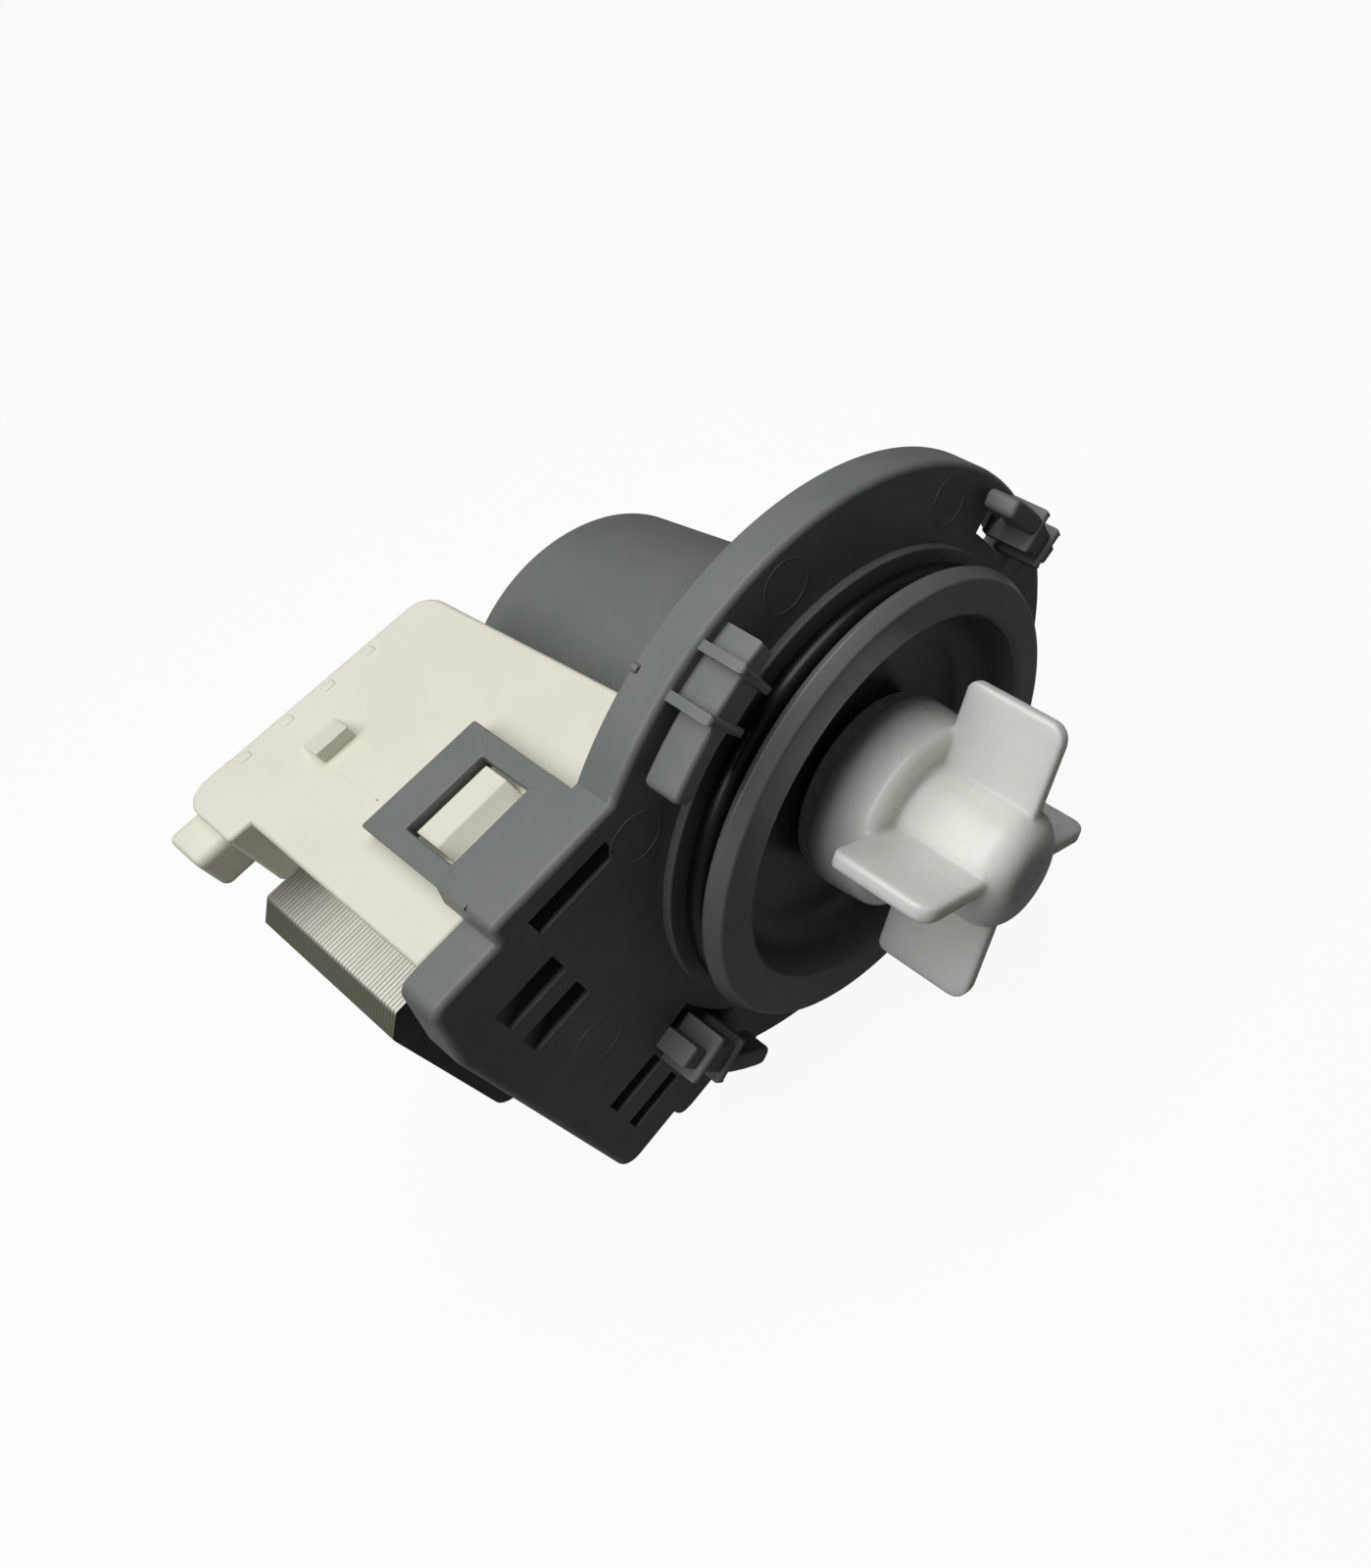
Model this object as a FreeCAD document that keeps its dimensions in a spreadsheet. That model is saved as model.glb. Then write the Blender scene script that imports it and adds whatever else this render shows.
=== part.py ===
import FreeCAD, Part
import os
import Sketcher

"""Dishwasher drain pump, in millimetres.

The part frame has its origin on the rotor axis, at the flange's front face.  The rotor axis runs
along Y, with the impeller towards -Y, and +Z is the side of the snap clip.  Each piece is drawn in
the front view, which looks at the impeller: x to the right, y up, and z forward, towards the
impeller.  VIEW turns the front view into the part frame.
"""

VIEW = FreeCAD.Placement(FreeCAD.Vector(0, 0, 0), FreeCAD.Rotation(FreeCAD.Vector(1, 0, 0), 90))
PARTS_FOLDER = "parts"

SIZES = {
    # Gaps between pieces
    "seat_gap": 0.05,
    "running_gap": 0.06,
    "moving_gap": 0.3,
    "cut_margin": 1.0,
    # Pump body: flange, and the step ring that the sump seal lies on
    "flange_radius": 41.0,
    "flange_rear_radius": 40.3,
    "flange_thick": 5.0,
    "step_radius": 31.0,
    "step_height": 1.0,
    "recess_radius": 25.45,
    "recess_depth": 2.5,
    # Pump body: rotor can with its rear bearing pocket
    "can_bore": 9.3,
    "can_wall": 1.0,
    "can_depth": 38.3,
    "can_root_radius": 13.0,
    "can_root_length": 3.0,
    "pocket_radius": 6.0,
    "pocket_wall": 1.0,
    "pocket_depth": 5.6,
    "can_seal_radius": 10.9,
    "can_seal_depth": 1.8,
    # Pump body: open shroud round the pole ends
    "shroud_centre_x": -4.3,
    "shroud_centre_up": 0.2,
    "shroud_radius": 25.8,
    "shroud_rear_radius": 20.3,
    "shroud_reach": 43.0,
    "shroud_wall": 1.8,
    # Pump body: plate in front of the stator, seen from the front
    "plate_left": 51.4,
    "plate_top": 29.3,
    "plate_thick": 4.8,
    "plate_corner_up": 20.4,
    "plate_corner_x": 49.4,
    "plate_bottom": 23.1,
    "plate_jog_x": 43.0,
    "plate_jog_width": 2.0,
    "plate_jog_drop": 2.2,
    "plate_lip_x": 34.6,
    "plate_lip_drop": 0.5,
    "plate_toe_x": 30.7,
    "plate_toe_drop": 2.6,
    # Slots in the plate: left and right ends, bottom and top
    "clip_slot_left": 38.4,
    "clip_slot_right": 28.5,
    "clip_slot_bottom": 26.4,
    "clip_slot_rise": 0.2,
    "slot_width": 7.3,
    "slot_left": 46.6,
    "slot_drift": 0.2,
    "slot_one_bottom": 18.4,
    "slot_one_height": 3.5,
    "slot_two_bottom": 12.2,
    "slot_two_height": 3.4,
    "slot_three_top": 8.0,
    "slot_three_height": 2.7,
    "slot_four_top": 14.6,
    "slot_four_height": 2.4,
    "notch_left": 39.3,
    "notch_width": 2.7,
    "notch_depth": 2.2,
    # Snap clip over the coil cover
    "clip_left": 41.0,
    "clip_right": 26.8,
    "clip_reach": 19.8,
    "clip_thick": 2.3,
    "clip_step": 0.35,
    "window_left": 38.6,
    "window_right": 29.5,
    "window_front": 8.6,
    "window_length": 6.9,
    # Bayonet lugs: radii, reach ahead of the flange, and angles from the clip side, anticlockwise
    "lug_count": 4.0,
    "lug_root_radius": 34.4,
    "lug_radius": 39.4,
    "lug_thin_radius": 36.8,
    "lug_rib_radius": 40.8,
    "lug_reach": 5.0,
    "lug_rib_reach": 5.6,
    "lug_rib_turn": 1.7,
    "lug_top_turn": 10.0,
    "lug_upper_turn": 14.6,
    "lug_lower_turn": 22.8,
    "lug_end_turn": 36.0,
    "lug_undercut": 1.2,
    "lug_window_inner": 33.6,
    "lug_window_outer": 36.9,
    "lug_window_start": 6.0,
    "lug_window_turn": 25.0,
    # Front collar: spigot, seal shoulder, rolled rim and dish
    "collar_radius": 30.6,
    "collar_rear": 4.0,
    "collar_edge": 6.1,
    "collar_crown_radius": 28.4,
    "collar_crown": 7.45,
    "mouth_radius": 25.5,
    "mouth_front": 7.6,
    "mouth_bevel": 0.9,
    "mouth_bevel_depth": 1.3,
    "dish_floor_radius": 23.4,
    "dish_floor": 0.2,
    "dish_round": 2.0,
    "crown_round": 1.0,
    "shoulder_radius": 26.6,
    "spigot_length": 10.0,
    "spigot_gap": 0.15,
    "seal_pocket_radius": 5.2,
    "seal_pocket_depth": 2.8,
    "seal_pocket_floor": 1.0,
    "web_bore": 3.0,
    "bearing_seat_bore": 6.05,
    # Sump seal and can seal
    "sump_seal_thick": 2.9,
    "can_seal_thick": 1.7,
    # Shaft, bearings and thrust washers
    "shaft_radius": 1.6,
    "shaft_front": 22.4,
    "shaft_rear": 43.4,
    "shaft_chamfer": 0.3,
    "bearing_radius": 3.8,
    "front_bearing_length": 7.4,
    "rear_bearing_length": 4.3,
    "bearing_setback": 1.0,
    "bearing_lip": 0.4,
    "seat_rib_depth": 0.5,
    "seat_rib_width": 1.2,
    "washer_radius": 4.2,
    "washer_thick": 0.6,
    "lip_seal_thick": 2.6,
    "lip_seal_wall": 0.9,
    "lip_depth": 1.0,
    "lip_thick": 0.4,
    # Magnet on its moulded hub
    "magnet_radius": 8.8,
    "magnet_bore": 4.0,
    "hub_flange_radius": 7.6,
    "hub_flange_thick": 1.2,
    "hub_length": 24.9,
    "magnet_chamfer": 0.5,
    # Impeller: bell, nose and vanes
    "bell_rim": 5.0,
    "bell_radius": 13.1,
    "bell_side": 7.2,
    "bell_shoulder_radius": 10.7,
    "bell_shoulder": 10.5,
    "bell_neck": 11.6,
    "nose_radius": 7.9,
    "nose_front": 27.1,
    "nose_round": 2.6,
    "nose_dimple_radius": 4.2,
    "nose_dimple_depth": 0.6,
    "chamber_radius": 11.6,
    "chamber_ceiling": 9.0,
    "impeller_bore_end": 23.0,
    "vane_radius": 19.0,
    "vane_rear": 11.4,
    "vane_front": 25.5,
    "vane_thick": 2.1,
    "vane_round": 2.0,
    "vane_turn": 47.4,
    # Loose coupling between shaft and impeller
    "cap_radius": 12.3,
    "cap_rear": 1.6,
    "cap_bore": 2.4,
    "cap_chamfer": 0.7,
    "cap_plug": 0.25,
    "dog_hub_radius": 3.9,
    "dog_radius": 9.8,
    "dog_rear": 5.6,
    "dog_front": 8.6,
    "dog_turn": 40.0,
    "damper_thick": 0.8,
    "damper_turn": 10.0,
    "stop_inner_radius": 4.3,
    "stop_radius": 10.3,
    "stop_turn": 50.0,
    "stop_side": 180.0,
    # Laminated core: sheet stack with yoke, legs and poles
    "sheet_count": 47.0,
    "sheet_thick": 0.5,
    "stack_front": 14.0,
    "core_left": 54.5,
    "core_half": 14.5,
    "yoke_width": 7.0,
    "leg_width": 6.5,
    "core_chamfer_x": 2.3,
    "core_chamfer_up": 2.8,
    "core_bore": 10.55,
    "pole_radius": 18.2,
    "pole_bridge": 1.3,
    "pole_gap": 3.0,
    # Bobbins and windings
    "bobbin_left": 42.0,
    "bobbin_right": 20.1,
    "bobbin_wall": 1.0,
    "bobbin_flange": 1.2,
    "winding_build": 3.4,
    "flange_margin": 0.3,
    "winding_round": 2.0,
    # Coil cover, open towards the plate
    "cover_left": 47.2,
    "cover_top": 29.1,
    "cover_bottom": 21.0,
    "cover_front": 5.1,
    "cover_rear": 41.0,
    "cover_right": 15.1,
    "cover_right_rear": 18.0,
    "cover_wall": 1.5,
    "cover_corner_round": 3.0,
    "cover_edge_round": 0.5,
    "bulge_wall": 1.3,
    "ramp_left": 37.9,
    "ramp_right": 29.9,
    "ramp_front": 9.1,
    "ramp_flat": 12.2,
    "ramp_rear": 15.1,
    "ramp_height": 2.2,
    "nub_left": 38.6,
    "nub_width": 4.0,
    "nub_front": 31.3,
    "nub_length": 1.9,
    "nub_height": 1.2,
    "bump_count": 4.0,
    "bump_first": 26.2,
    "bump_pitch": 5.3,
    "bump_width": 1.6,
    "bump_front": 38.4,
    "bump_length": 1.2,
    "bump_height": 0.4,
    # Corner lugs of the coil cover
    "ear_left": 49.7,
    "ear_front": 32.2,
    "ear_bottom": 21.0,
    "hook_left": 53.3,
    "hook_front": 34.4,
    "hook_rear": 40.5,
    "hook_bottom": 21.8,
    "hook_top": 27.5,
    "hook_round": 1.4,
    # Terminal socket in the cover's rear, with its two tabs
    "socket_left": 43.0,
    "socket_right": 25.0,
    "socket_bottom": 21.2,
    "socket_top": 27.6,
    "socket_depth": 11.0,
    "socket_wall": 1.0,
    "tab_pitch": 9.2,
    "tab_width": 4.8,
    "tab_thick": 0.8,
    "tab_front": 27.6,
    "tab_rear": 39.4,
    "tab_chamfer": 1.0,
}


class Size:
    """A driving size, or a sum of them: its number, and the formula that the document keeps."""

    def __init__(self, number, formula):
        self.number = float(number)
        self.formula = formula

    def __add__(self, other):
        other = size_of(other)
        return Size(self.number + other.number, f"({self.formula} + {other.formula})")

    def __sub__(self, other):
        other = size_of(other)
        return Size(self.number - other.number, f"({self.formula} - {other.formula})")

    def __mul__(self, factor):
        factor = size_of(factor)
        return Size(self.number * factor.number, f"({self.formula} * {factor.formula})")

    def __truediv__(self, divisor):
        divisor = size_of(divisor)
        return Size(self.number / divisor.number, f"({self.formula} / {divisor.formula})")

    def __neg__(self):
        return Size(-self.number, f"(0 - {self.formula})")

    def __radd__(self, other):
        return size_of(other) + self

    def __rsub__(self, other):
        return size_of(other) - self


def size_of(value):
    """Give a plain number the form of a size."""
    if isinstance(value, Size):
        return value
    return Size(value, repr(float(value)))


class Sheet:
    """The spreadsheet of driving sizes, read by name."""

    def __init__(self, document, sizes):
        self.page = document.addObject("Spreadsheet::Sheet", "Sizes")
        for row, (name, number) in enumerate(sizes.items(), start=1):
            self.page.set(f"A{row}", name)
            self.page.set(f"B{row}", repr(number))
            self.page.setAlias(f"B{row}", name)
        document.recompute()

    def __getattr__(self, name):
        return Size(self.page.get(name), f"Sizes.{name}")


doc = FreeCAD.newDocument("DrainPump")
size = Sheet(doc, SIZES)
pieces = []


def bind(item, **formulas):
    """Tie properties of an object to sizes; an underscore in a name stands for a dot."""
    for name, value in formulas.items():
        item.setExpression(name.replace("_", "."), size_of(value).formula)


def add(kind, name):
    """Add one object to the document under a plain name."""
    return doc.addObject(kind, name)


def at(item, x=0, up=0, forward=0):
    """Move an object to a point of the front view."""
    bind(item, Placement_Base_x=x, Placement_Base_y=up, Placement_Base_z=forward)
    return item


def box(name, left, right, bottom, top, rear, front):
    """A block between two values on each axis of the front view."""
    item = add("Part::Box", name)
    bind(item, Length=size_of(right) - left, Width=size_of(top) - bottom, Height=size_of(front) - rear)
    return at(item, left, bottom, rear)


def cylinder(name, radius, rear, front, x=0, up=0):
    """A round bar along the rotor axis."""
    item = add("Part::Cylinder", name)
    bind(item, Radius=radius, Height=size_of(front) - rear)
    return at(item, x, up, rear)


def sector(name, radius, rear, front, start, turn):
    """A slice of a round bar, from an angle anticlockwise of the upward direction."""
    item = add("Part::Cylinder", name)
    item.Placement = FreeCAD.Placement(FreeCAD.Vector(), FreeCAD.Rotation(FreeCAD.Vector(0, 0, 1), 90))
    bind(item, Radius=radius, Height=size_of(front) - rear, Angle=turn)
    bind(item, Placement_Rotation_Angle=size_of(start) + 90)
    return at(item, 0, 0, rear)


def arc_block(name, outer, inner, rear, front, start, turn):
    """A slice of a ring."""
    slice_of_bar = sector(f"{name}_slice", outer, rear, front, start, turn)
    core = cylinder(f"{name}_core", inner, size_of(rear) - size.cut_margin, size_of(front) + size.cut_margin)
    return cut(name, slice_of_bar, [core])


def torus(name, ring_radius, section_radius, forward):
    """A ring of round section about the rotor axis."""
    item = add("Part::Torus", name)
    bind(item, Radius1=ring_radius, Radius2=section_radius)
    return at(item, 0, 0, forward)


def fuse(name, items):
    """Join objects into one solid, without the seams between flush faces."""
    item = add("Part::MultiFuse", name)
    item.Shapes = items
    item.Refine = True
    return item


def cut(name, base, tools):
    """Take one or more objects away from another."""
    tool = tools[0] if len(tools) == 1 else fuse(f"{name}_tools", tools)
    item = add("Part::Cut", name)
    item.Base = base
    item.Tool = tool
    item.Refine = True
    return item


def common(name, items):
    """Keep what all the objects share."""
    item = add("Part::MultiCommon", name)
    item.Shapes = items
    item.Refine = True
    return item


def closed_outline(sketch, points):
    """Draw a closed outline whose corners are held by sizes."""
    count = len(points)
    corners = [FreeCAD.Vector(size_of(p[0]).number, size_of(p[1]).number, 0) for p in points]
    for index in range(count):
        sketch.addGeometry(Part.LineSegment(corners[index], corners[(index + 1) % count]), False)
    for index in range(count):
        sketch.addConstraint(Sketcher.Constraint("Coincident", index, 2, (index + 1) % count, 1))
    for index, point in enumerate(points):
        for kind, value in zip(("DistanceX", "DistanceY"), point):
            value = size_of(value)
            row = sketch.addConstraint(Sketcher.Constraint(kind, -1, 1, index, 1, value.number))
            sketch.setExpression(f"Constraints[{row}]", value.formula)


def origin_plane(body, role):
    """Find a plane of the body's own origin."""
    return next(plane for plane in body.Origin.OriginFeatures if plane.Role == role)


def turned(name, points):
    """A body turned about the rotor axis from corners given as radius and distance forward."""
    body = add("PartDesign::Body", name)
    sketch = body.newObject("Sketcher::SketchObject", f"{name}_profile")
    sketch.AttachmentSupport = [(origin_plane(body, "XZ_Plane"), "")]
    sketch.MapMode = "FlatFace"
    closed_outline(sketch, points)
    turn = body.newObject("PartDesign::Revolution", f"{name}_turn")
    turn.Profile = sketch
    turn.ReferenceAxis = (sketch, ["V_Axis"])
    turn.Angle = 360.0
    body.Tip = turn
    doc.recompute()
    return body


def plate(name, points, rear, front):
    """An outline of the front view, drawn out along the rotor axis."""
    body = add("PartDesign::Body", name)
    sketch = body.newObject("Sketcher::SketchObject", f"{name}_outline")
    sketch.AttachmentSupport = [(origin_plane(body, "XY_Plane"), "")]
    sketch.MapMode = "FlatFace"
    closed_outline(sketch, points)
    pad = body.newObject("PartDesign::Pad", f"{name}_pad")
    pad.Profile = sketch
    bind(pad, Length=size_of(front) - rear)
    body.Tip = pad
    bind(body, Placement_Base_z=rear)
    doc.recompute()
    return body


def plan_block(name, points, bottom, top):
    """An outline seen from above, as x and distance forward, drawn out upwards."""
    body = add("PartDesign::Body", name)
    sketch = body.newObject("Sketcher::SketchObject", f"{name}_outline")
    sketch.AttachmentSupport = [(origin_plane(body, "XZ_Plane"), "")]
    sketch.MapMode = "FlatFace"
    closed_outline(sketch, points)
    pad = body.newObject("PartDesign::Pad", f"{name}_pad")
    pad.Profile = sketch
    pad.Reversed = True
    bind(pad, Length=size_of(top) - bottom)
    body.Tip = pad
    bind(body, Placement_Base_y=bottom)
    doc.recompute()
    return body


def near_edges(shape, spots):
    """Numbers of the edges that lie nearest to points given as x, up and forward."""
    numbers = []
    for spot in spots:
        point = Part.Vertex(*[size_of(value).number for value in spot])
        distances = [edge.distToShape(point)[0] for edge in shape.Edges]
        number = distances.index(min(distances)) + 1
        if number not in numbers:
            numbers.append(number)
    return numbers


def rounded(name, base, spots, radius):
    """Round the edges of an object that lie nearest to some points."""
    doc.recompute()
    item = add("Part::Fillet", name)
    item.Base = base
    item.Edges = [(number, radius.number, radius.number) for number in near_edges(base.Shape, spots)]
    return item


def finish(item, name):
    """Name a finished piece and turn it from the front view into the part frame."""
    doc.recompute()
    item.Label = name
    places = {path[-1]: formula for path, formula in item.ExpressionEngine if "Placement" in path}
    for axis in places:
        item.setExpression(f"Placement.Base.{axis}", None)
    item.Placement = VIEW.multiply(item.Placement)
    if "y" in places:
        item.setExpression("Placement.Base.z", places["y"])
    if "z" in places:
        item.setExpression("Placement.Base.y", f"0 - ({places['z']})")
    pieces.append(item)
    return item


def round_item(name, points):
    """A finished piece that is turned about the rotor axis."""
    return finish(turned(f"{name}_body", points), name)


# Places shared by neighbouring pieces, as distances forward of the flange's front face
stack_length = size.sheet_count * size.sheet_thick
stack_rear = -(size.stack_front + stack_length)
stack_front = -size.stack_front
recess_floor = -size.recess_depth
can_outer = size.can_bore + size.can_wall
pocket_rear = -(size.can_depth + size.pocket_depth)
collar_floor_rear = recess_floor + size.seat_gap
spigot_radius = size.can_bore - size.spigot_gap
spigot_rear = collar_floor_rear - size.spigot_length
web_rear = size.dish_floor - size.seal_pocket_depth - size.seal_pocket_floor
shaft_bore = size.shaft_radius + size.running_gap
front_seat_front = web_rear - size.seat_gap
front_bearing_front = front_seat_front - size.bearing_lip - size.seat_gap
front_bearing_rear = front_bearing_front - size.front_bearing_length
front_washer_front = front_bearing_rear - size.moving_gap
hub_front = front_washer_front - size.washer_thick - size.seat_gap
hub_rear = hub_front - size.hub_length
rear_washer_front = hub_rear - size.seat_gap
rear_bearing_front = rear_washer_front - size.washer_thick - size.moving_gap
rear_bearing_rear = rear_bearing_front - size.rear_bearing_length
seat_radius = size.bearing_seat_bore - size.seat_gap
bearing_bore = size.bearing_radius + size.seat_gap
magnet_front = hub_front - size.hub_flange_thick - size.seat_gap
magnet_rear = hub_rear + size.hub_flange_thick + size.seat_gap


def make_pump_body():
    """Flange, rotor can, shroud, plate, snap clip and bayonet lugs, moulded in one."""
    wheel = turned("flange_and_can", [
        (size.recess_radius, recess_floor),
        (size.recess_radius, size.step_height),
        (size.step_radius, size.step_height),
        (size.step_radius, 0),
        (size.flange_radius, 0),
        (size.flange_rear_radius, -size.flange_thick),
        (size.can_root_radius, -size.flange_thick),
        (size.can_root_radius, -size.flange_thick - size.can_root_length),
        (can_outer, -size.flange_thick - size.can_root_length),
        (can_outer, -size.can_depth - size.can_wall),
        (size.pocket_radius + size.pocket_wall, -size.can_depth - size.can_wall),
        (size.pocket_radius + size.pocket_wall, pocket_rear - size.can_wall),
        (0, pocket_rear - size.can_wall),
        (0, pocket_rear),
        (size.pocket_radius, pocket_rear),
        (size.pocket_radius, -size.can_depth),
        (size.can_bore, -size.can_depth),
        (size.can_bore, recess_floor - size.can_seal_depth),
        (size.can_seal_radius, recess_floor - size.can_seal_depth),
        (size.can_seal_radius, recess_floor),
    ])
    return finish(joined_body([wheel, make_shroud(), make_plate(), make_clip()]), "pump_body")


def make_shroud():
    """Drafted shell round the pole ends, open at the rear and towards the coil cover."""
    depth = size.shroud_reach - size.flange_thick / 2
    shells = []
    for name, inset in (("outer", size_of(0)), ("inner", size.shroud_wall)):
        cone = add("Part::Cone", f"shroud_{name}")
        bind(cone, Radius1=size.shroud_rear_radius - inset, Radius2=size.shroud_radius - inset, Height=depth)
        shells.append(at(cone, size.shroud_centre_x, size.shroud_centre_up, -size.shroud_reach))
    side = plan_block("shroud_side_cut", [
        (-size.cover_left, -size.flange_thick),
        (moving_side(size.flange_thick), -size.flange_thick),
        (moving_side(size.shroud_reach), -size.shroud_reach - size.cut_margin),
        (-size.cover_left, -size.shroud_reach - size.cut_margin),
    ], -size.flange_radius, size.flange_radius)
    shell = cut("shroud_shell", shells[0], [shells[1]])
    return cut("shroud", shell, [side])


def cover_side(depth):
    """X of the coil cover's slanted right wall at a depth behind the flange's front face."""
    lean = (size.cover_right_rear - size.cover_right) / (size.cover_rear - size.cover_front)
    return -(size.cover_right + lean * (size_of(depth) - size.cover_front))


def moving_side(depth):
    """X of the shroud's open edge, clear of the coil cover."""
    return cover_side(depth) + size.moving_gap


def make_plate():
    """Plate in front of the stator, with its moulding slots."""
    inner_x = -size.shoulder_radius
    bottom = -size.plate_bottom
    lip = bottom - size.plate_jog_drop - size.plate_lip_drop
    outline = plate("plate_blank", [
        (-size.plate_left, size.plate_top),
        (-size.plate_left, -size.plate_corner_up),
        (-size.plate_corner_x, bottom),
        (-size.plate_jog_x, bottom),
        (-size.plate_jog_x + size.plate_jog_width, bottom - size.plate_jog_drop),
        (-size.plate_lip_x, lip),
        (-size.plate_toe_x, lip - size.plate_toe_drop),
        (inner_x, lip - size.plate_toe_drop),
        (inner_x, size.plate_top),
    ], -size.plate_thick, 0)
    heart = cylinder("plate_heart", size.flange_rear_radius - size.can_wall,
                     -size.flange_thick - size.cut_margin, size.cut_margin)
    tools = [heart, *plate_slots()]
    return cut("front_plate", outline, tools)


def plate_slots():
    """Slots through the plate, beside the stator."""
    rows = [
        ("one", size.slot_one_bottom, size.slot_one_height, -1),
        ("two", size.slot_two_bottom, size.slot_two_height, 0),
        ("three", -size.slot_three_top - size.slot_three_height, size.slot_three_height, 1),
        ("four", -size.slot_four_top - size.slot_four_height, size.slot_four_height, 2),
    ]
    rear = -size.plate_thick - size.cut_margin
    slots = []
    for name, bottom, height, step in rows:
        left = -size.slot_left - size.slot_drift * step
        slots.append(box(f"slot_{name}", left, left + size.slot_width, bottom, bottom + height,
                         rear, size.cut_margin))
    notch_bottom = -size.plate_bottom - size.plate_jog_drop - size.plate_lip_drop
    slots.append(box("plate_notch", -size.notch_left, -size.notch_left + size.notch_width,
                     notch_bottom, notch_bottom + size.notch_depth, rear, size.cut_margin))
    return slots


def make_clip():
    """Spring arm over the coil cover, rooted in the plate's top edge, with a window for the ramp."""
    bottom = size.plate_top
    top = bottom + size.clip_thick
    arm = box("clip_arm", -size.clip_left, -size.clip_right, bottom, top - size.clip_step,
              -size.clip_reach, 0)
    root = box("clip_root", -size.clip_left, -size.clip_right, size.clip_slot_bottom - size.clip_thick,
               top, -size.plate_thick, 0)
    bridge = box("clip_bridge", -size.clip_left, -size.clip_right, bottom, top, -size.window_front, 0)
    window = box("clip_window", -size.window_left, -size.window_right,
                 bottom - size.cut_margin, top + size.cut_margin,
                 -size.window_front - size.window_length, -size.window_front)
    heart = cylinder("clip_heart", size.recess_radius + size.cut_margin, -size.flange_thick, size.cut_margin)
    blank = fuse("clip_blank", [arm, root, bridge])
    return cut("clip", blank, [window, heart])


def make_lugs():
    """Bayonet lugs: ribbed hooks that stand ahead of the flange, each at its own quarter."""
    blocks = []
    for index in range(int(size.lug_count.number)):
        start = (size_of(360) / size.lug_count) * index
        name = f"lug_{index + 1}"
        upper = start + size.lug_upper_turn
        lower = start + size.lug_lower_turn
        thin_turn = size.lug_upper_turn - size.lug_top_turn
        end_turn = size.lug_end_turn - size.lug_lower_turn
        blocks += [
            arc_block(f"{name}_top", size.lug_radius, size.lug_thin_radius, -size.flange_thick / 2,
                      size.lug_reach, start + size.lug_top_turn, thin_turn),
            arc_block(f"{name}_middle", size.lug_radius, size.lug_root_radius, -size.flange_thick / 2,
                      size.lug_reach, upper, size.lug_lower_turn - size.lug_upper_turn),
            arc_block(f"{name}_end", size.lug_radius, size.lug_thin_radius, size.lug_undercut,
                      size.lug_reach, lower, end_turn),
        ]
        for side, turn in (("upper", upper), ("lower", lower)):
            blocks.append(arc_block(f"{name}_{side}_rib", size.lug_rib_radius, size.lug_root_radius,
                                    -size.flange_thick / 2, size.lug_rib_reach,
                                    turn - size.lug_rib_turn / 2, size.lug_rib_turn))
    return blocks


def lug_windows():
    """Windows through the flange behind the hooks."""
    windows = []
    for index in range(int(size.lug_count.number)):
        start = (size_of(360) / size.lug_count) * index + size.lug_window_start
        windows.append(arc_block(f"lug_window_{index + 1}", size.lug_window_outer, size.lug_window_inner,
                                 -size.flange_thick - size.cut_margin, size.cut_margin,
                                 start, size.lug_window_turn))
    return windows


def joined_body(blocks):
    """Fuse the body's blocks, open the windows, and add the lugs."""
    clip_slot = box("clip_slot", -size.clip_slot_left, -size.clip_slot_right, size.clip_slot_bottom,
                    size.plate_top + size.clip_slot_rise, -size.plate_thick - size.cut_margin,
                    size.cut_margin)
    plain = cut("pump_body_plain", fuse("pump_body_blank", blocks), [*lug_windows(), clip_slot])
    return fuse("pump_body_solid", [plain, *make_lugs()])


def make_seals():
    """The sump seal on the collar's shoulder, and the seal at the rotor can's mouth."""
    section = size.sump_seal_thick / 2
    ring = torus("sump_ring", size.shoulder_radius + size.seat_gap + section, section,
                 (size.step_height + size.collar_rear) / 2)
    finish(ring, "sump_seal")
    section = size.can_seal_thick / 2
    ring = torus("can_ring", spigot_radius + size.seat_gap / 2 + section, section,
                 collar_floor_rear - (size.can_seal_depth + size.seat_gap) / 2)
    finish(ring, "can_seal")


def make_front_collar():
    """Dished collar that closes the rotor can and holds the front bearing."""
    body = turned("front_collar_body", [
        (size.seal_pocket_radius, size.dish_floor),
        (size.dish_floor_radius, size.dish_floor),
        (size.mouth_radius - size.mouth_bevel, size.mouth_front - size.mouth_bevel_depth),
        (size.mouth_radius, size.mouth_front),
        (size.collar_crown_radius, size.collar_crown),
        (size.collar_radius, size.collar_edge),
        (size.collar_radius, size.collar_rear),
        (size.shoulder_radius, size.collar_rear),
        (size.shoulder_radius, size.step_height + size.seat_gap),
        (size.recess_radius - size.spigot_gap, size.step_height + size.seat_gap),
        (size.recess_radius - size.spigot_gap, collar_floor_rear),
        (spigot_radius, collar_floor_rear),
        (spigot_radius, spigot_rear),
        (size.bearing_seat_bore, spigot_rear),
        (size.bearing_seat_bore, web_rear),
        (size.web_bore, web_rear),
        (size.web_bore, size.dish_floor - size.seal_pocket_depth),
        (size.seal_pocket_radius, size.dish_floor - size.seal_pocket_depth),
    ])
    dish = rounded("collar_dish_round", body, [(size.dish_floor_radius, 0, size.dish_floor)], size.dish_round)
    crown = rounded("collar_crown_round", dish, [
        (size.collar_crown_radius, 0, size.collar_crown),
        (size.collar_radius, 0, size.collar_edge),
    ], size.crown_round)
    finish(crown, "front_collar")


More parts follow.
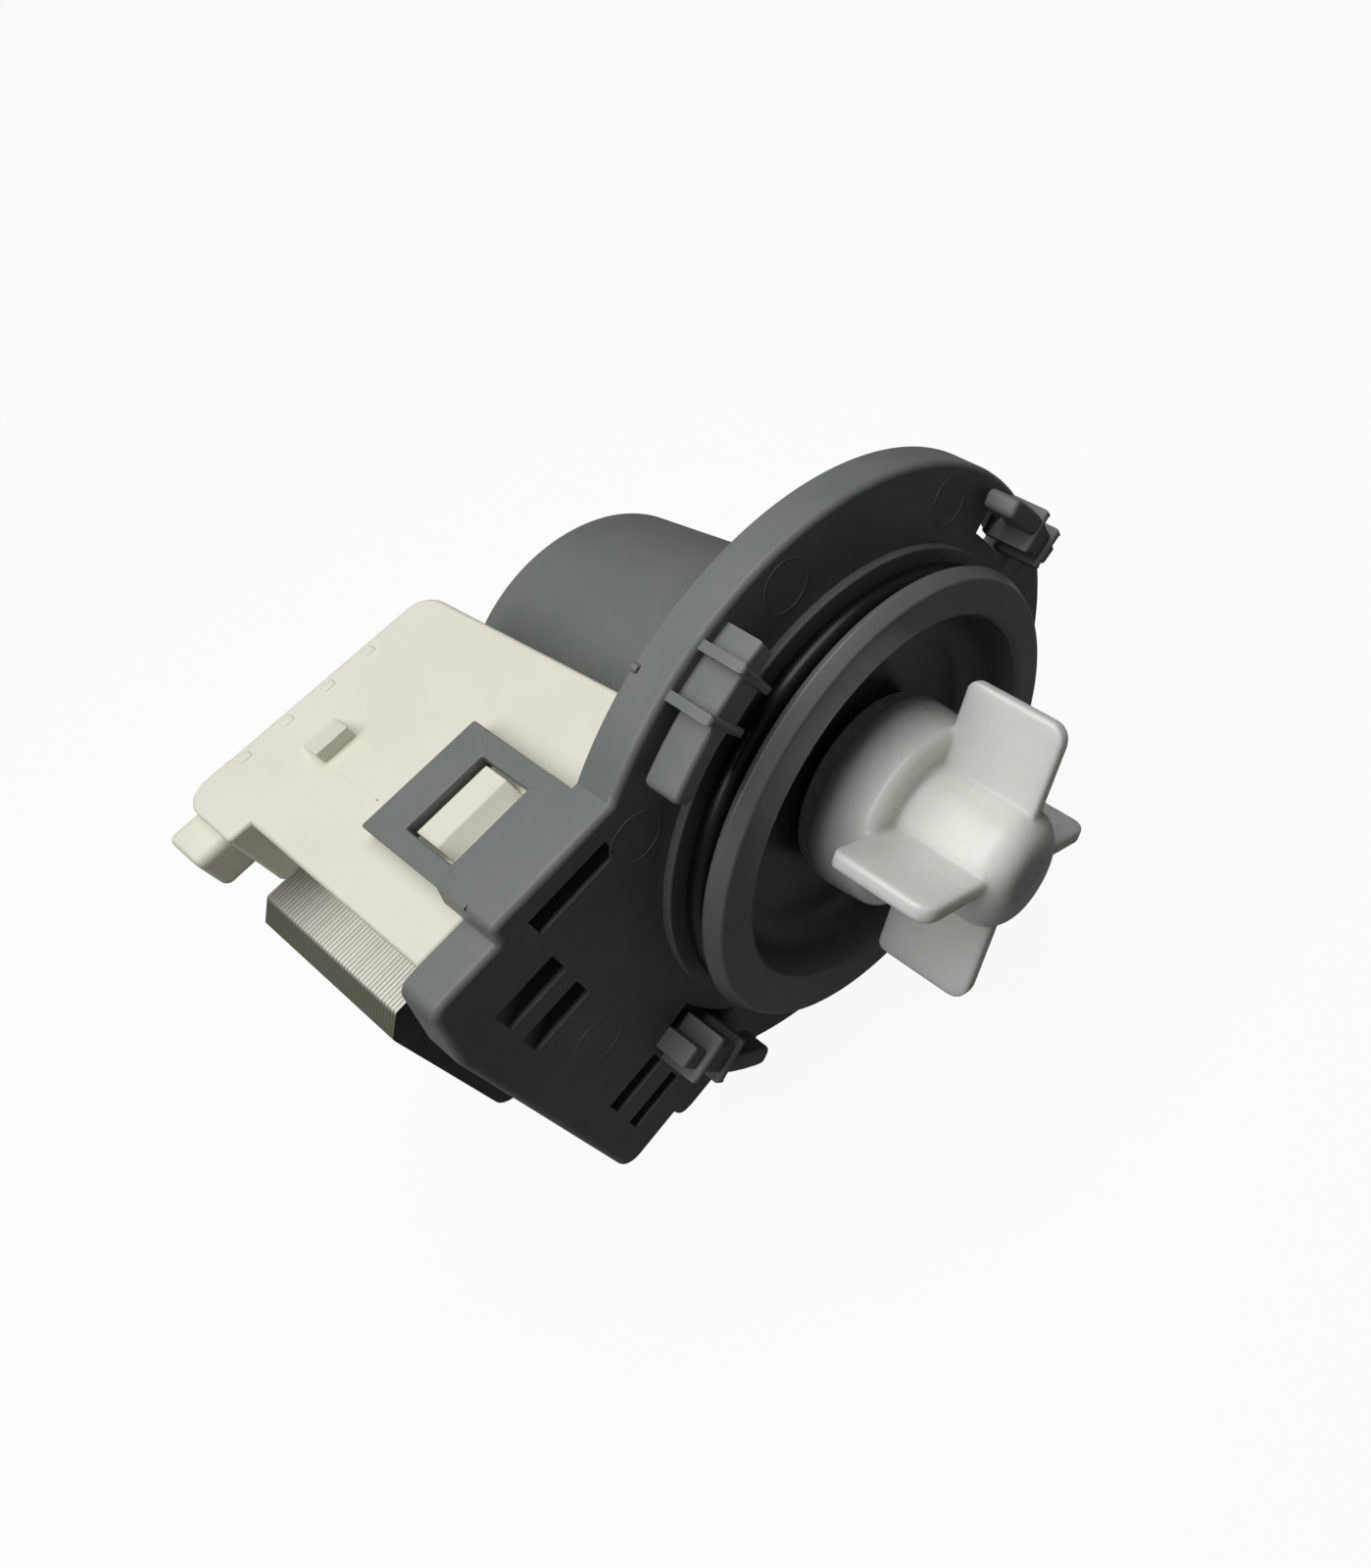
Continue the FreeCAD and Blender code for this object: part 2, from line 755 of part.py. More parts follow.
def make_lip_seal():
    """Rubber shaft seal in the collar's front pocket, with a lip that runs on the shaft."""
    outer = size.seal_pocket_radius - size.seat_gap
    front = size.dish_floor - size.seat_gap
    rear = front - size.lip_seal_thick
    lip_front = front - size.lip_depth
    round_item("shaft_seal", [
        (outer, front),
        (outer, rear),
        (outer - size.lip_seal_wall, rear),
        (outer - size.lip_seal_wall, lip_front - size.lip_thick),
        (shaft_bore, lip_front - size.lip_thick * 2),
        (shaft_bore, lip_front - size.lip_thick),
        (outer - size.lip_seal_wall * 2, front),
    ])


def make_bearings():
    """Front and rear bushes, each in its rubber seat."""
    rib_radius = seat_radius - size.seat_rib_depth
    groove_front = front_seat_front - size.seat_rib_width
    round_item("front_bearing_seat", [
        (size.bearing_radius - size.bearing_setback, front_seat_front),
        (seat_radius, front_seat_front),
        (seat_radius, groove_front),
        (rib_radius, groove_front),
        (rib_radius, front_bearing_rear + size.seat_rib_width),
        (seat_radius, front_bearing_rear + size.seat_rib_width),
        (seat_radius, front_bearing_rear),
        (bearing_bore, front_bearing_rear),
        (bearing_bore, front_seat_front - size.bearing_lip),
        (size.bearing_radius - size.bearing_setback, front_seat_front - size.bearing_lip),
    ])
    round_item("front_bearing", [
        (shaft_bore, front_bearing_front),
        (size.bearing_radius, front_bearing_front),
        (size.bearing_radius, front_bearing_rear),
        (shaft_bore, front_bearing_rear),
    ])
    rear_radius = size.pocket_radius - size.seat_gap
    rear_end = pocket_rear + size.seat_gap
    round_item("rear_bearing_seat", [
        (bearing_bore, rear_bearing_front),
        (rear_radius, rear_bearing_front),
        (rear_radius, rear_end),
        (size.bearing_radius - size.bearing_setback, rear_end),
        (size.bearing_radius - size.bearing_setback, rear_bearing_rear - size.seat_gap),
        (bearing_bore, rear_bearing_rear - size.seat_gap),
    ])
    round_item("rear_bearing", [
        (shaft_bore, rear_bearing_front),
        (size.bearing_radius, rear_bearing_front),
        (size.bearing_radius, rear_bearing_rear),
        (shaft_bore, rear_bearing_rear),
    ])


def make_rotor():
    """Shaft, magnet, moulded hub and thrust washers, which turn together."""
    tip = size.shaft_radius - size.shaft_chamfer
    round_item("rotor_shaft", [
        (0, size.shaft_front),
        (tip, size.shaft_front),
        (size.shaft_radius, size.shaft_front - size.shaft_chamfer),
        (size.shaft_radius, size.shaft_chamfer - size.shaft_rear),
        (tip, -size.shaft_rear),
        (0, -size.shaft_rear),
    ])
    edge = size.magnet_radius - size.magnet_chamfer
    bore = size.magnet_bore
    round_item("rotor_magnet", [
        (bore, magnet_front),
        (edge, magnet_front),
        (size.magnet_radius, magnet_front - size.magnet_chamfer),
        (size.magnet_radius, magnet_rear + size.magnet_chamfer),
        (edge, magnet_rear),
        (bore, magnet_rear),
    ])
    grip = size.shaft_radius + size.seat_gap / 2
    core = size.magnet_bore - size.seat_gap / 2
    round_item("rotor_hub", [
        (grip, hub_front),
        (size.hub_flange_radius, hub_front),
        (size.hub_flange_radius, hub_front - size.hub_flange_thick),
        (core, hub_front - size.hub_flange_thick),
        (core, hub_rear + size.hub_flange_thick),
        (size.hub_flange_radius, hub_rear + size.hub_flange_thick),
        (size.hub_flange_radius, hub_rear),
        (grip, hub_rear),
    ])
    for name, front in (("front_thrust_washer", front_washer_front), ("rear_thrust_washer", rear_washer_front)):
        round_item(name, [
            (grip, front),
            (size.washer_radius, front),
            (size.washer_radius, front - size.washer_thick),
            (grip, front - size.washer_thick),
        ])


def make_coupling():
    """Dog on the shaft with its rubber damper; the impeller's stop lies opposite at rest."""
    start = -size.dog_turn / 2
    hub = cylinder("dog_hub", size.dog_hub_radius, size.dog_rear, size.dog_front)
    lobe = sector("dog_lobe", size.dog_radius, size.dog_rear, size.dog_front, start, size.dog_turn)
    bore = cylinder("dog_bore", size.shaft_radius + size.seat_gap / 2, size.dog_rear - size.cut_margin,
                    size.dog_front + size.cut_margin)
    finish(cut("drive_dog_solid", fuse("dog_blank", [hub, lobe]), [bore]), "drive_dog")
    blank = sector("damper_blank", size.dog_radius + size.damper_thick, size.dog_rear, size.dog_front,
                   start - size.damper_turn, size.dog_turn + size.damper_turn * 2)
    rear = size.dog_rear - size.cut_margin
    front = size.dog_front + size.cut_margin
    lobe_space = sector("damper_lobe_space", size.dog_radius + size.seat_gap, rear, front, start, size.dog_turn)
    hub_space = cylinder("damper_hub_space", size.dog_hub_radius + size.seat_gap, rear, front)
    finish(cut("dog_damper_solid", blank, [lobe_space, hub_space]), "dog_damper")


def make_impeller():
    """Bell with the coupling's chamber, nose, and radial vanes."""
    body = turned("impeller_bell", [
        (size.chamber_radius, size.bell_rim),
        (size.bell_radius, size.bell_rim),
        (size.bell_radius, size.bell_side),
        (size.bell_shoulder_radius, size.bell_shoulder),
        (size.nose_radius, size.bell_neck),
        (size.nose_radius, size.nose_front),
        (size.nose_dimple_radius, size.nose_front),
        (size.nose_dimple_radius, size.nose_front - size.nose_dimple_depth),
        (0, size.nose_front - size.nose_dimple_depth),
        (0, size.chamber_ceiling),
        (size.chamber_radius - size.cap_chamfer, size.chamber_ceiling),
        (size.chamber_radius, size.chamber_ceiling - size.cap_chamfer),
    ])
    nose = rounded("impeller_nose_round", body, [(size.nose_radius, 0, size.nose_front)], size.nose_round)
    bell = rounded("impeller_bell_round", nose, [(size.bell_radius, 0, size.bell_side)], size.vane_round)
    stop = arc_block("impeller_stop", size.stop_radius, size.stop_inner_radius, size.dog_rear,
                     size.chamber_ceiling + size.seat_gap, size.stop_side - size.stop_turn / 2, size.stop_turn)
    bore = cylinder("impeller_bore", shaft_bore + size.seat_gap / 2, size.bell_rim, size.impeller_bore_end)
    blank = fuse("impeller_blank", [bell, stop, make_vanes()])
    finish(cut("impeller_solid", blank, [bore]), "impeller")


def make_vanes():
    """Four radial vanes with rounded outer corners, as a cross turned to its place."""
    reach = size.vane_radius
    half = size.vane_thick / 2
    level = box("vanes_level", -reach, reach, -half, half, size.vane_rear, size.vane_front)
    upright = box("vanes_upright", -half, half, -reach, reach, size.vane_rear, size.vane_front)
    ends = (size.vane_rear, size.vane_front)
    level_corners = [(side, 0, end) for side in (-reach, reach) for end in ends]
    upright_corners = [(0, side, end) for side in (-reach, reach) for end in ends]
    cross = fuse("vanes", [
        rounded("vanes_level_round", level, level_corners, size.vane_round),
        rounded("vanes_upright_round", upright, upright_corners, size.vane_round),
    ])
    cross.Placement = FreeCAD.Placement(FreeCAD.Vector(), FreeCAD.Rotation(FreeCAD.Vector(0, 0, 1), 1))
    bind(cross, Placement_Rotation_Angle=size.vane_turn)
    return cross


def make_impeller_cap():
    """Cap that closes the coupling's chamber behind the bell."""
    plug = size.chamber_radius - size.seat_gap
    front = size.bell_rim + size.cap_plug
    round_item("impeller_cap", [
        (size.cap_bore, size.cap_rear),
        (size.cap_radius - size.cap_chamfer, size.cap_rear),
        (size.cap_radius, size.cap_rear + size.cap_chamfer),
        (size.cap_radius, size.bell_rim - size.seat_gap),
        (plug, size.bell_rim - size.seat_gap),
        (plug, front),
        (size.cap_bore, front),
    ])


def make_core():
    """Sheet stack: two legs that end in poles round the rotor, and the yoke that closes them."""
    joint = -size.core_left + size.yoke_width
    half = size.core_half
    inner = half - size.leg_width
    blank = box("pole_blank", joint + size.seat_gap, size.pole_radius, -half, half, stack_rear, stack_front)
    pole_left = -size.core_bore - size.pole_bridge
    window = box("leg_window", joint - size.cut_margin, pole_left, -inner, inner,
                 stack_rear - size.cut_margin, stack_front + size.cut_margin)
    bore = cylinder("core_bore_cut", size.core_bore, stack_rear - size.cut_margin, stack_front + size.cut_margin)
    gap = box("pole_gap_cut", 0, size.pole_radius + size.cut_margin, -size.pole_gap / 2, size.pole_gap / 2,
              stack_rear - size.cut_margin, stack_front + size.cut_margin)
    legs = cut("pole_legs", blank, [window, bore, gap])
    round_end = cylinder("pole_round", size.pole_radius, stack_rear, stack_front,
                         size.shroud_centre_x, size.shroud_centre_up)
    leg_zone = box("leg_zone", -size.core_left, size.shroud_centre_x, -half, half, stack_rear, stack_front)
    envelope = fuse("pole_envelope", [round_end, leg_zone])
    finish(common("pole_core_solid", [legs, envelope]), "pole_core")
    left = -size.core_left
    finish(plate("yoke_outline", [
        (left, half - size.core_chamfer_up),
        (left, size.core_chamfer_up - half),
        (left + size.core_chamfer_x, -half),
        (joint, -half),
        (joint, half),
        (left + size.core_chamfer_x, half),
    ], stack_rear, stack_front), "yoke_core")


def coil_box(name, side, grow, left, right):
    """A block round one leg, that many millimetres larger than the leg all round."""
    inner = size.core_half - size.leg_width - grow
    outer = size.core_half + grow
    bottom, top = (inner, outer) if side > 0 else (-outer, -inner)
    return box(name, left, right, bottom, top, stack_rear - grow, stack_front + grow)


def make_coils():
    """Each leg's bobbin with its winding."""
    leg_gap = size.seat_gap * 2
    tube = leg_gap + size.bobbin_wall
    wound = tube + size.seat_gap + size.winding_build
    rim = wound + size.flange_margin
    left = -size.bobbin_left
    right = -size.bobbin_right
    for name, side in (("upper", 1), ("lower", -1)):
        flanges = [
            coil_box(f"{name}_left_flange", side, rim, left, left + size.bobbin_flange),
            coil_box(f"{name}_right_flange", side, rim, right - size.bobbin_flange, right),
        ]
        barrel = coil_box(f"{name}_barrel", side, tube, left, right)
        bore = coil_box(f"{name}_bore", side, leg_gap, left - size.cut_margin, right + size.cut_margin)
        finish(cut(f"{name}_bobbin_solid", fuse(f"{name}_bobbin_blank", [barrel, *flanges]), [bore]),
               f"bobbin_{name}")
        wire_left = left + size.bobbin_flange + size.seat_gap
        wire_right = right - size.bobbin_flange - size.seat_gap
        wire = coil_box(f"{name}_wire", side, wound, wire_left, wire_right)
        bottom = (size.core_half - size.leg_width - wound) if side > 0 else -(size.core_half + wound)
        top = bottom + size.leg_width + wound * 2
        corners = [(wire_left + size.winding_round, up, forward)
                   for up in (bottom, top)
                   for forward in (stack_rear - wound, stack_front + wound)]
        soft_wire = rounded(f"{name}_wire_round", wire, corners, size.winding_round)
        space = coil_box(f"{name}_wire_space", side, tube + size.seat_gap, left - size.cut_margin,
                         right + size.cut_margin)
        finish(cut(f"{name}_winding_solid", soft_wire, [space]), f"winding_{name}")
    return rim


def cover_outline(inset):
    """Corners of the coil cover seen from above, drawn in by a wall."""
    front = -size.cover_front
    rear = -size.cover_rear + inset
    left = -size.cover_left + inset
    return [
        (left, front),
        (cover_side(size.cover_front) - inset, front),
        (cover_side(size.cover_rear) - inset, rear),
        (left, rear),
    ]


def make_cover(rim):
    """White coil cover: shell, coil bulges, ramp, nub, corner lugs and terminal socket."""
    wall = size.cover_wall
    top = size.cover_top
    blank = plan_block("cover_blank", cover_outline(size_of(0)), -size.cover_bottom, top)
    blank = rounded("cover_blank_round", blank, [
        (cover_side(size.cover_rear), 0, -size.cover_rear),
    ], size.cover_corner_round)
    edged = rounded("cover_edge_round", blank, [
        (-size.cover_left, top, -size.cover_rear + size.cover_wall),
        (-size.bobbin_left, top, -size.cover_rear),
    ], size.cover_edge_round)
    room = plan_block("cover_room", cover_outline(wall), wall - size.cover_bottom, top - wall)
    outside = [edged, *coil_bulges("bulge", rim, size.flange_margin / 2 + size.bulge_wall)]
    outside += cover_lugs()
    inside = [room, *coil_bulges("bulge_room", rim, size.flange_margin / 2)]
    inside += core_notches()
    shell = cut("cover_shell", fuse("cover_outside", outside), inside)
    socket_left = -size.socket_left
    socket_right = -size.socket_right
    socket_floor = -size.cover_rear + size.socket_depth
    block = box("socket_block", socket_left - size.socket_wall, socket_right + size.socket_wall,
                size.socket_bottom - size.socket_wall, top - wall / 2,
                -size.cover_rear + wall / 2, socket_floor + size.socket_wall)
    cavity = box("socket_cavity", socket_left, socket_right, size.socket_bottom, size.socket_top,
                 -size.cover_rear - size.cut_margin, socket_floor)
    with_socket = fuse("cover_with_socket", [shell, block])
    finish(cut("coil_cover_solid", with_socket, [cavity, *tab_slots()]), "coil_cover")


def coil_bulges(name, rim, grow):
    """Swellings of the cover's rear wall round the two coils."""
    reach = rim + grow
    left = -size.bobbin_left - grow
    right = -size.bobbin_right + grow
    inner = size.core_half - size.leg_width - reach
    outer = size.core_half + reach
    rear = stack_rear - reach
    front = -size.cover_rear + size.cover_wall
    return [
        box(f"{name}_upper", left, right, inner, outer, rear, front),
        box(f"{name}_lower", left, right, -outer, -inner, rear, front),
    ]


def core_notches():
    """Openings of the cover's side walls for the core, open towards the plate."""
    half = size.core_half + size.moving_gap / 2
    rear = stack_rear - size.moving_gap / 2
    front = -size.cover_front + size.cut_margin
    return [
        box("left_notch", -size.cover_left - size.cut_margin, -size.cover_left + size.cover_wall * 2,
            -half, half, rear, front),
        box("right_notch", cover_side(size.cover_rear) - size.cover_wall * 2,
            cover_side(size.cover_front) + size.cut_margin, -half, half, rear, front),
    ]


def cover_lugs():
    """Snap ramp, nub, and the stepped lug at the rear corner."""
    top = size.cover_top
    seat = top - size.cover_wall / 2
    ramp_top = top + size.ramp_height
    ramp_body = add("PartDesign::Body", "ramp")
    sketch = ramp_body.newObject("Sketcher::SketchObject", "ramp_outline")
    sketch.AttachmentSupport = [(origin_plane(ramp_body, "YZ_Plane"), "")]
    sketch.MapMode = "FlatFace"
    closed_outline(sketch, [
        (seat, -size.ramp_front),
        (top, -size.ramp_front),
        (ramp_top, -size.ramp_flat),
        (ramp_top, -size.ramp_rear),
        (seat, -size.ramp_rear),
    ])
    pad = ramp_body.newObject("PartDesign::Pad", "ramp_pad")
    pad.Profile = sketch
    bind(pad, Length=size.ramp_left - size.ramp_right)
    ramp_body.Tip = pad
    bind(ramp_body, Placement_Base_x=-size.ramp_left)
    nub = box("cover_nub", -size.nub_left, -size.nub_left + size.nub_width, seat, top + size.nub_height,
              -size.nub_front - size.nub_length, -size.nub_front)
    ear = box("cover_ear", -size.ear_left, -size.cover_left + size.cover_wall / 2, size.ear_bottom, top,
              -size.cover_rear, -size.ear_front)
    hook = box("cover_hook", -size.hook_left, -size.ear_left + size.cover_wall, size.hook_bottom, size.hook_top,
               -size.hook_rear, -size.hook_front)
    hook = rounded("cover_hook_round", hook, [
        (-size.hook_left, size.hook_top, -size.hook_rear + size.hook_round),
        (-size.hook_left, size.hook_bottom, -size.hook_rear + size.hook_round),
    ], size.hook_round)
    return [ramp_body, nub, ear, hook, *cover_bumps(seat)]


def cover_bumps(seat):
    """Row of low stops on the cover's top, near its rear edge."""
    bumps = []
    for index in range(int(size.bump_count.number)):
        right = -size.bump_first - size.bump_pitch * index
        bumps.append(box(f"cover_bump_{index + 1}", right - size.bump_width, right, seat,
                         size.cover_top + size.bump_height,
                         -size.bump_front - size.bump_length, -size.bump_front))
    return bumps


def tab_places():
    """Centre of each terminal tab, left to right."""
    middle = -(size.socket_left + size.socket_right) / 2
    return [("left", middle - size.tab_pitch / 2), ("right", middle + size.tab_pitch / 2)]


def tab_block(name, x, grow, rear, front):
    """One flat tab, or the slot that holds it."""
    middle = (size.socket_bottom + size.socket_top) / 2
    half_thick = size.tab_thick / 2 + grow
    half_width = size.tab_width / 2 + grow
    return box(name, x - half_thick, x + half_thick, middle - half_width, middle + half_width, rear, front)


def tab_slots():
    """Slots in the socket's floor for the tabs."""
    floor = -size.cover_rear + size.socket_depth
    return [tab_block(f"tab_slot_{name}", x, size.seat_gap, floor - size.cut_margin,
                      floor + size.socket_wall + size.cut_margin)
            for name, x in tab_places()]


def make_terminals():
    """Two flat terminal tabs with chamfered ends."""
    middle = (size.socket_bottom + size.socket_top) / 2
    for name, x in tab_places():
        blank = tab_block(f"tab_{name}_blank", x, size_of(0), -size.tab_rear, -size.tab_front)
        doc.recompute()
        corners = near_edges(blank.Shape, [
            (x, middle + size.tab_width / 2, -size.tab_rear),
            (x, middle - size.tab_width / 2, -size.tab_rear),
        ])
        tab = add("Part::Chamfer", f"tab_{name}_solid")
        tab.Base = blank
        tab.Edges = [(number, size.tab_chamfer.number, size.tab_chamfer.number) for number in corners]
        finish(tab, f"terminal_{name}")


def check_model():
    """Stop if any object failed, or a piece is not a sound solid."""
    for item in doc.Objects:
        bad = [state for state in item.State if state in ("Invalid", "Error")]
        if bad:
            raise RuntimeError(f"{item.Name} is {bad}")
    for item in pieces:
        shape = item.Shape
        if shape.isNull() or not shape.isValid() or not shape.Solids:
            raise RuntimeError(f"{item.Label} has no sound solid")


make_pump_body()
make_seals()
make_front_collar()
make_lip_seal()
make_bearings()
make_rotor()
make_coupling()
make_impeller()
make_impeller_cap()
make_core()
coil_rim = make_coils()
make_cover(coil_rim)
make_terminals()
doc.recompute()
check_model()

os.makedirs(PARTS_FOLDER, exist_ok=True)
for piece in pieces:
    piece.Shape.exportStep(os.path.join(PARTS_FOLDER, f"{piece.Label}.step"))
    box_size = piece.Shape.BoundBox
    print(f"{piece.Label}: {len(piece.Shape.Solids)} solid, volume {piece.Shape.Volume:.1f},"
          f" x {box_size.XMin:.2f} to {box_size.XMax:.2f}, y {box_size.YMin:.2f} to {box_size.YMax:.2f},"
          f" z {box_size.ZMin:.2f} to {box_size.ZMax:.2f}")
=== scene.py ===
"""Dishwasher drain pump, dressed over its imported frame.

Sizes are in millimetres: x across the pump, y from the impeller towards the rear, z up to the clip.
"""

import logging
import math
from contextlib import contextmanager
from dataclasses import dataclass
from enum import Enum
from typing import Any, Callable, Iterator, Optional, Sequence

import bpy
from mathutils import Matrix, Vector


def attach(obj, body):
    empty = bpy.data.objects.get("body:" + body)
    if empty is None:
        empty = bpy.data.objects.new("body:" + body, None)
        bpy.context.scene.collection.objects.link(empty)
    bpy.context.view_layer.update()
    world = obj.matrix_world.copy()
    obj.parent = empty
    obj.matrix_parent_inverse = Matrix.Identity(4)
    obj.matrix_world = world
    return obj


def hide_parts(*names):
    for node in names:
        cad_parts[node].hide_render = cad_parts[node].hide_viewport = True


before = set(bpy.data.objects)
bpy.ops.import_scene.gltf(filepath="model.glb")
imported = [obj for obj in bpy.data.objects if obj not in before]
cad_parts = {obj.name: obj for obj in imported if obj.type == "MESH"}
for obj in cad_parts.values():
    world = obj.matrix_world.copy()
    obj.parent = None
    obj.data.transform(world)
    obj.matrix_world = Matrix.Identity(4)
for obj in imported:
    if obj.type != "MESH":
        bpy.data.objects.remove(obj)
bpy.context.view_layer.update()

MM = 0.001
MERGE_MM = 0.0005
NEAR_MM = 0.01
NEAR_ZERO = 1e-6
HOUSING = "housing"
IMPELLER_WHEEL = "impeller_wheel"
LOG = logging.getLogger("drain_pump")

Piece = bpy.types.Object
Tree = bpy.types.NodeTree
Socket = bpy.types.NodeSocket
Point2 = tuple[float, float]
Point3 = tuple[float, float, float]
Corner = tuple[float, float, float]
PlaceTest = Callable[[Vector], bool]


# Bench tools
class Plane(Enum):
    """Which way a flat outline lies before it is made thick."""

    FRONT = Matrix(((1, 0, 0, 0), (0, 0, -1, 0), (0, 1, 0, 0), (0, 0, 0, 1)))
    PLAN = Matrix.Identity(4)
    SIDE = Matrix(((0, 0, 1, 0), (1, 0, 0, 0), (0, 1, 0, 0), (0, 0, 0, 1)))


def take_up(piece: Piece) -> None:
    """Make one piece the only selected and the active one."""
    bpy.ops.object.select_all(action="DESELECT")
    piece.select_set(True)
    bpy.context.view_layer.objects.active = piece


def settle(piece: Piece) -> None:
    """Put a piece's place into its mesh, so that its object sits at the origin."""
    take_up(piece)
    bpy.ops.object.transform_apply(location=True, rotation=True, scale=True)


def shape(piece: Piece, tool: str, **settings: Any) -> None:
    """Shape a mesh with one modifier and apply it.

    Args:
        piece: the mesh object.
        tool: the modifier's type.
        settings: the modifier's settings.
    """
    take_up(piece)
    modifier = piece.modifiers.new(tool.lower(), tool)
    for name, value in settings.items():
        setattr(modifier, name, value)
    bpy.ops.object.modifier_apply(modifier=modifier.name)


@contextmanager
def hold_open(piece: Piece, test: Optional[PlaceTest] = None) -> Iterator[None]:
    """Hold a piece open in edit mode, with all of it or only some of its vertices selected.

    Args:
        piece: the mesh object.
        test: says whether a vertex is wanted, from its place in millimetres; without it all are.
    """
    take_up(piece)
    bpy.ops.object.mode_set(mode="EDIT")
    if test is None:
        bpy.ops.mesh.select_all(action="SELECT")
    else:
        bpy.ops.mesh.select_mode(type="VERT")
        bpy.ops.mesh.select_all(action="DESELECT")
        bpy.ops.object.mode_set(mode="OBJECT")
        for vertex in piece.data.vertices:
            vertex.select = test(vertex.co / MM)
        bpy.ops.object.mode_set(mode="EDIT")
    yield
    bpy.ops.object.mode_set(mode="OBJECT")


def tidy_mesh(piece: Piece) -> None:
    """Merge doubles and turn the faces outwards.

    Args:
        piece: the mesh object.
    """
    with hold_open(piece):
        bpy.ops.mesh.remove_doubles(threshold=MERGE_MM * MM)
        bpy.ops.mesh.dissolve_degenerate(threshold=MERGE_MM * MM)
        bpy.ops.mesh.normals_make_consistent(inside=False)


def round_picked(piece: Piece, test: PlaceTest, width: float) -> None:
    """Round the edges between some of a piece's vertices.

    Args:
        piece: the mesh object.
        test: says whether a vertex is wanted, from its place in millimetres.
        width: how wide the rounding is.
    """
    with hold_open(piece, test):
        bpy.ops.mesh.bevel(offset=width * MM, segments=4, affect="EDGES")


def block(name: str, low: Point3, high: Point3) -> Piece:
    """Add a block between two corners.

    Args:
        name: the piece's name.
        low: lowest corner.
        high: highest corner.

    Returns:
        The block, at the origin with its place in its mesh.
    """
    middle = [(a + b) / 2 * MM for a, b in zip(low, high)]
    bpy.ops.object.select_all(action="DESELECT")
    bpy.ops.mesh.primitive_cube_add(size=1.0, location=middle)
    piece = bpy.context.object
    piece.name = name
    piece.scale = [(b - a) * MM for a, b in zip(low, high)]
    settle(piece)
    return piece


def line_piece(name: str, runs: Sequence[Sequence[Point3]], flat: bool, closed: bool = True) -> Piece:
    """Draw straight runs as one curve object.

    Args:
        name: the piece's name.
        runs: each run's points in millimetres.
        flat: whether the curve is filled as a flat sheet.
        closed: whether each run ends where it starts.

    Returns:
        The curve object, selected and active.
    """
    data = bpy.data.curves.new(name, "CURVE")
    data.dimensions = "2D" if flat else "3D"
    for run in runs:
        spline = data.splines.new("POLY")
        spline.points.add(len(run) - 1)
        for point, place in zip(spline.points, run):
            point.co = (*[value * MM for value in place], 1.0)
        spline.use_cyclic_u = closed
    piece = bpy.data.objects.new(name, data)
    bpy.context.scene.collection.objects.link(piece)
    take_up(piece)
    return piece


def slab(name: str, outlines: Sequence[Sequence[Point2]], start: float, end: float, edge: float,
         plane: Plane = Plane.FRONT, steps: int = 2) -> Piece:
    """Make a thick sheet with softened edges from an outline and its holes.

    Args:
        name: the piece's name.
        outlines: the outer outline, then the holes.
        start: where the sheet starts across its plane.
        end: where it ends.
        edge: rounding of all its edges.
        plane: which way the sheet lies.
        steps: how finely the edges are rounded.

    Returns:
        The mesh object.
    """
    runs = [[(u, v, 0.0) for u, v in outline] for outline in outlines]
    data = line_piece(name, runs, flat=True).data
    data.fill_mode = "BOTH"
    data.extrude = ((end - start) / 2 - edge) * MM
    if edge > 0:
        data.bevel_depth = edge * MM
        data.bevel_resolution = steps
        data.offset = -edge * MM
    bpy.ops.object.convert(target="MESH")
    piece = bpy.context.object
    middle = (start + end) / 2 * MM
    place = {Plane.FRONT: (0, middle, 0), Plane.PLAN: (0, 0, middle), Plane.SIDE: (middle, 0, 0)}[plane]
    piece.matrix_world = Matrix.Translation(place) @ plane.value
    settle(piece)
    tidy_mesh(piece)
    return piece


def spun(name: str, profile: Sequence[Point2], steps: int = 144, centre: Point2 = (0.0, 0.0),
         closed: bool = True) -> Piece:
    """Turn a profile of (radius, y) points round an axis along y.

    Args:
        name: the piece's name.
        profile: points of the profile, in order.
        steps: how many steps make the whole turn.
        centre: the axis' place in x and z.
        closed: whether the profile closes on itself; otherwise it starts and ends on the axis.

    Returns:
        The mesh object.
    """
    run = [(centre[0] + radius, depth, centre[1]) for radius, depth in profile]
    line_piece(name, [run], flat=False, closed=closed)
    bpy.ops.object.convert(target="MESH")
    piece = bpy.context.object
    axis_place = (centre[0] * MM, 0, centre[1] * MM)
    with hold_open(piece):
        bpy.ops.mesh.spin(steps=steps, angle=math.tau, center=axis_place, axis=(0, 1, 0))
    tidy_mesh(piece)
    return piece


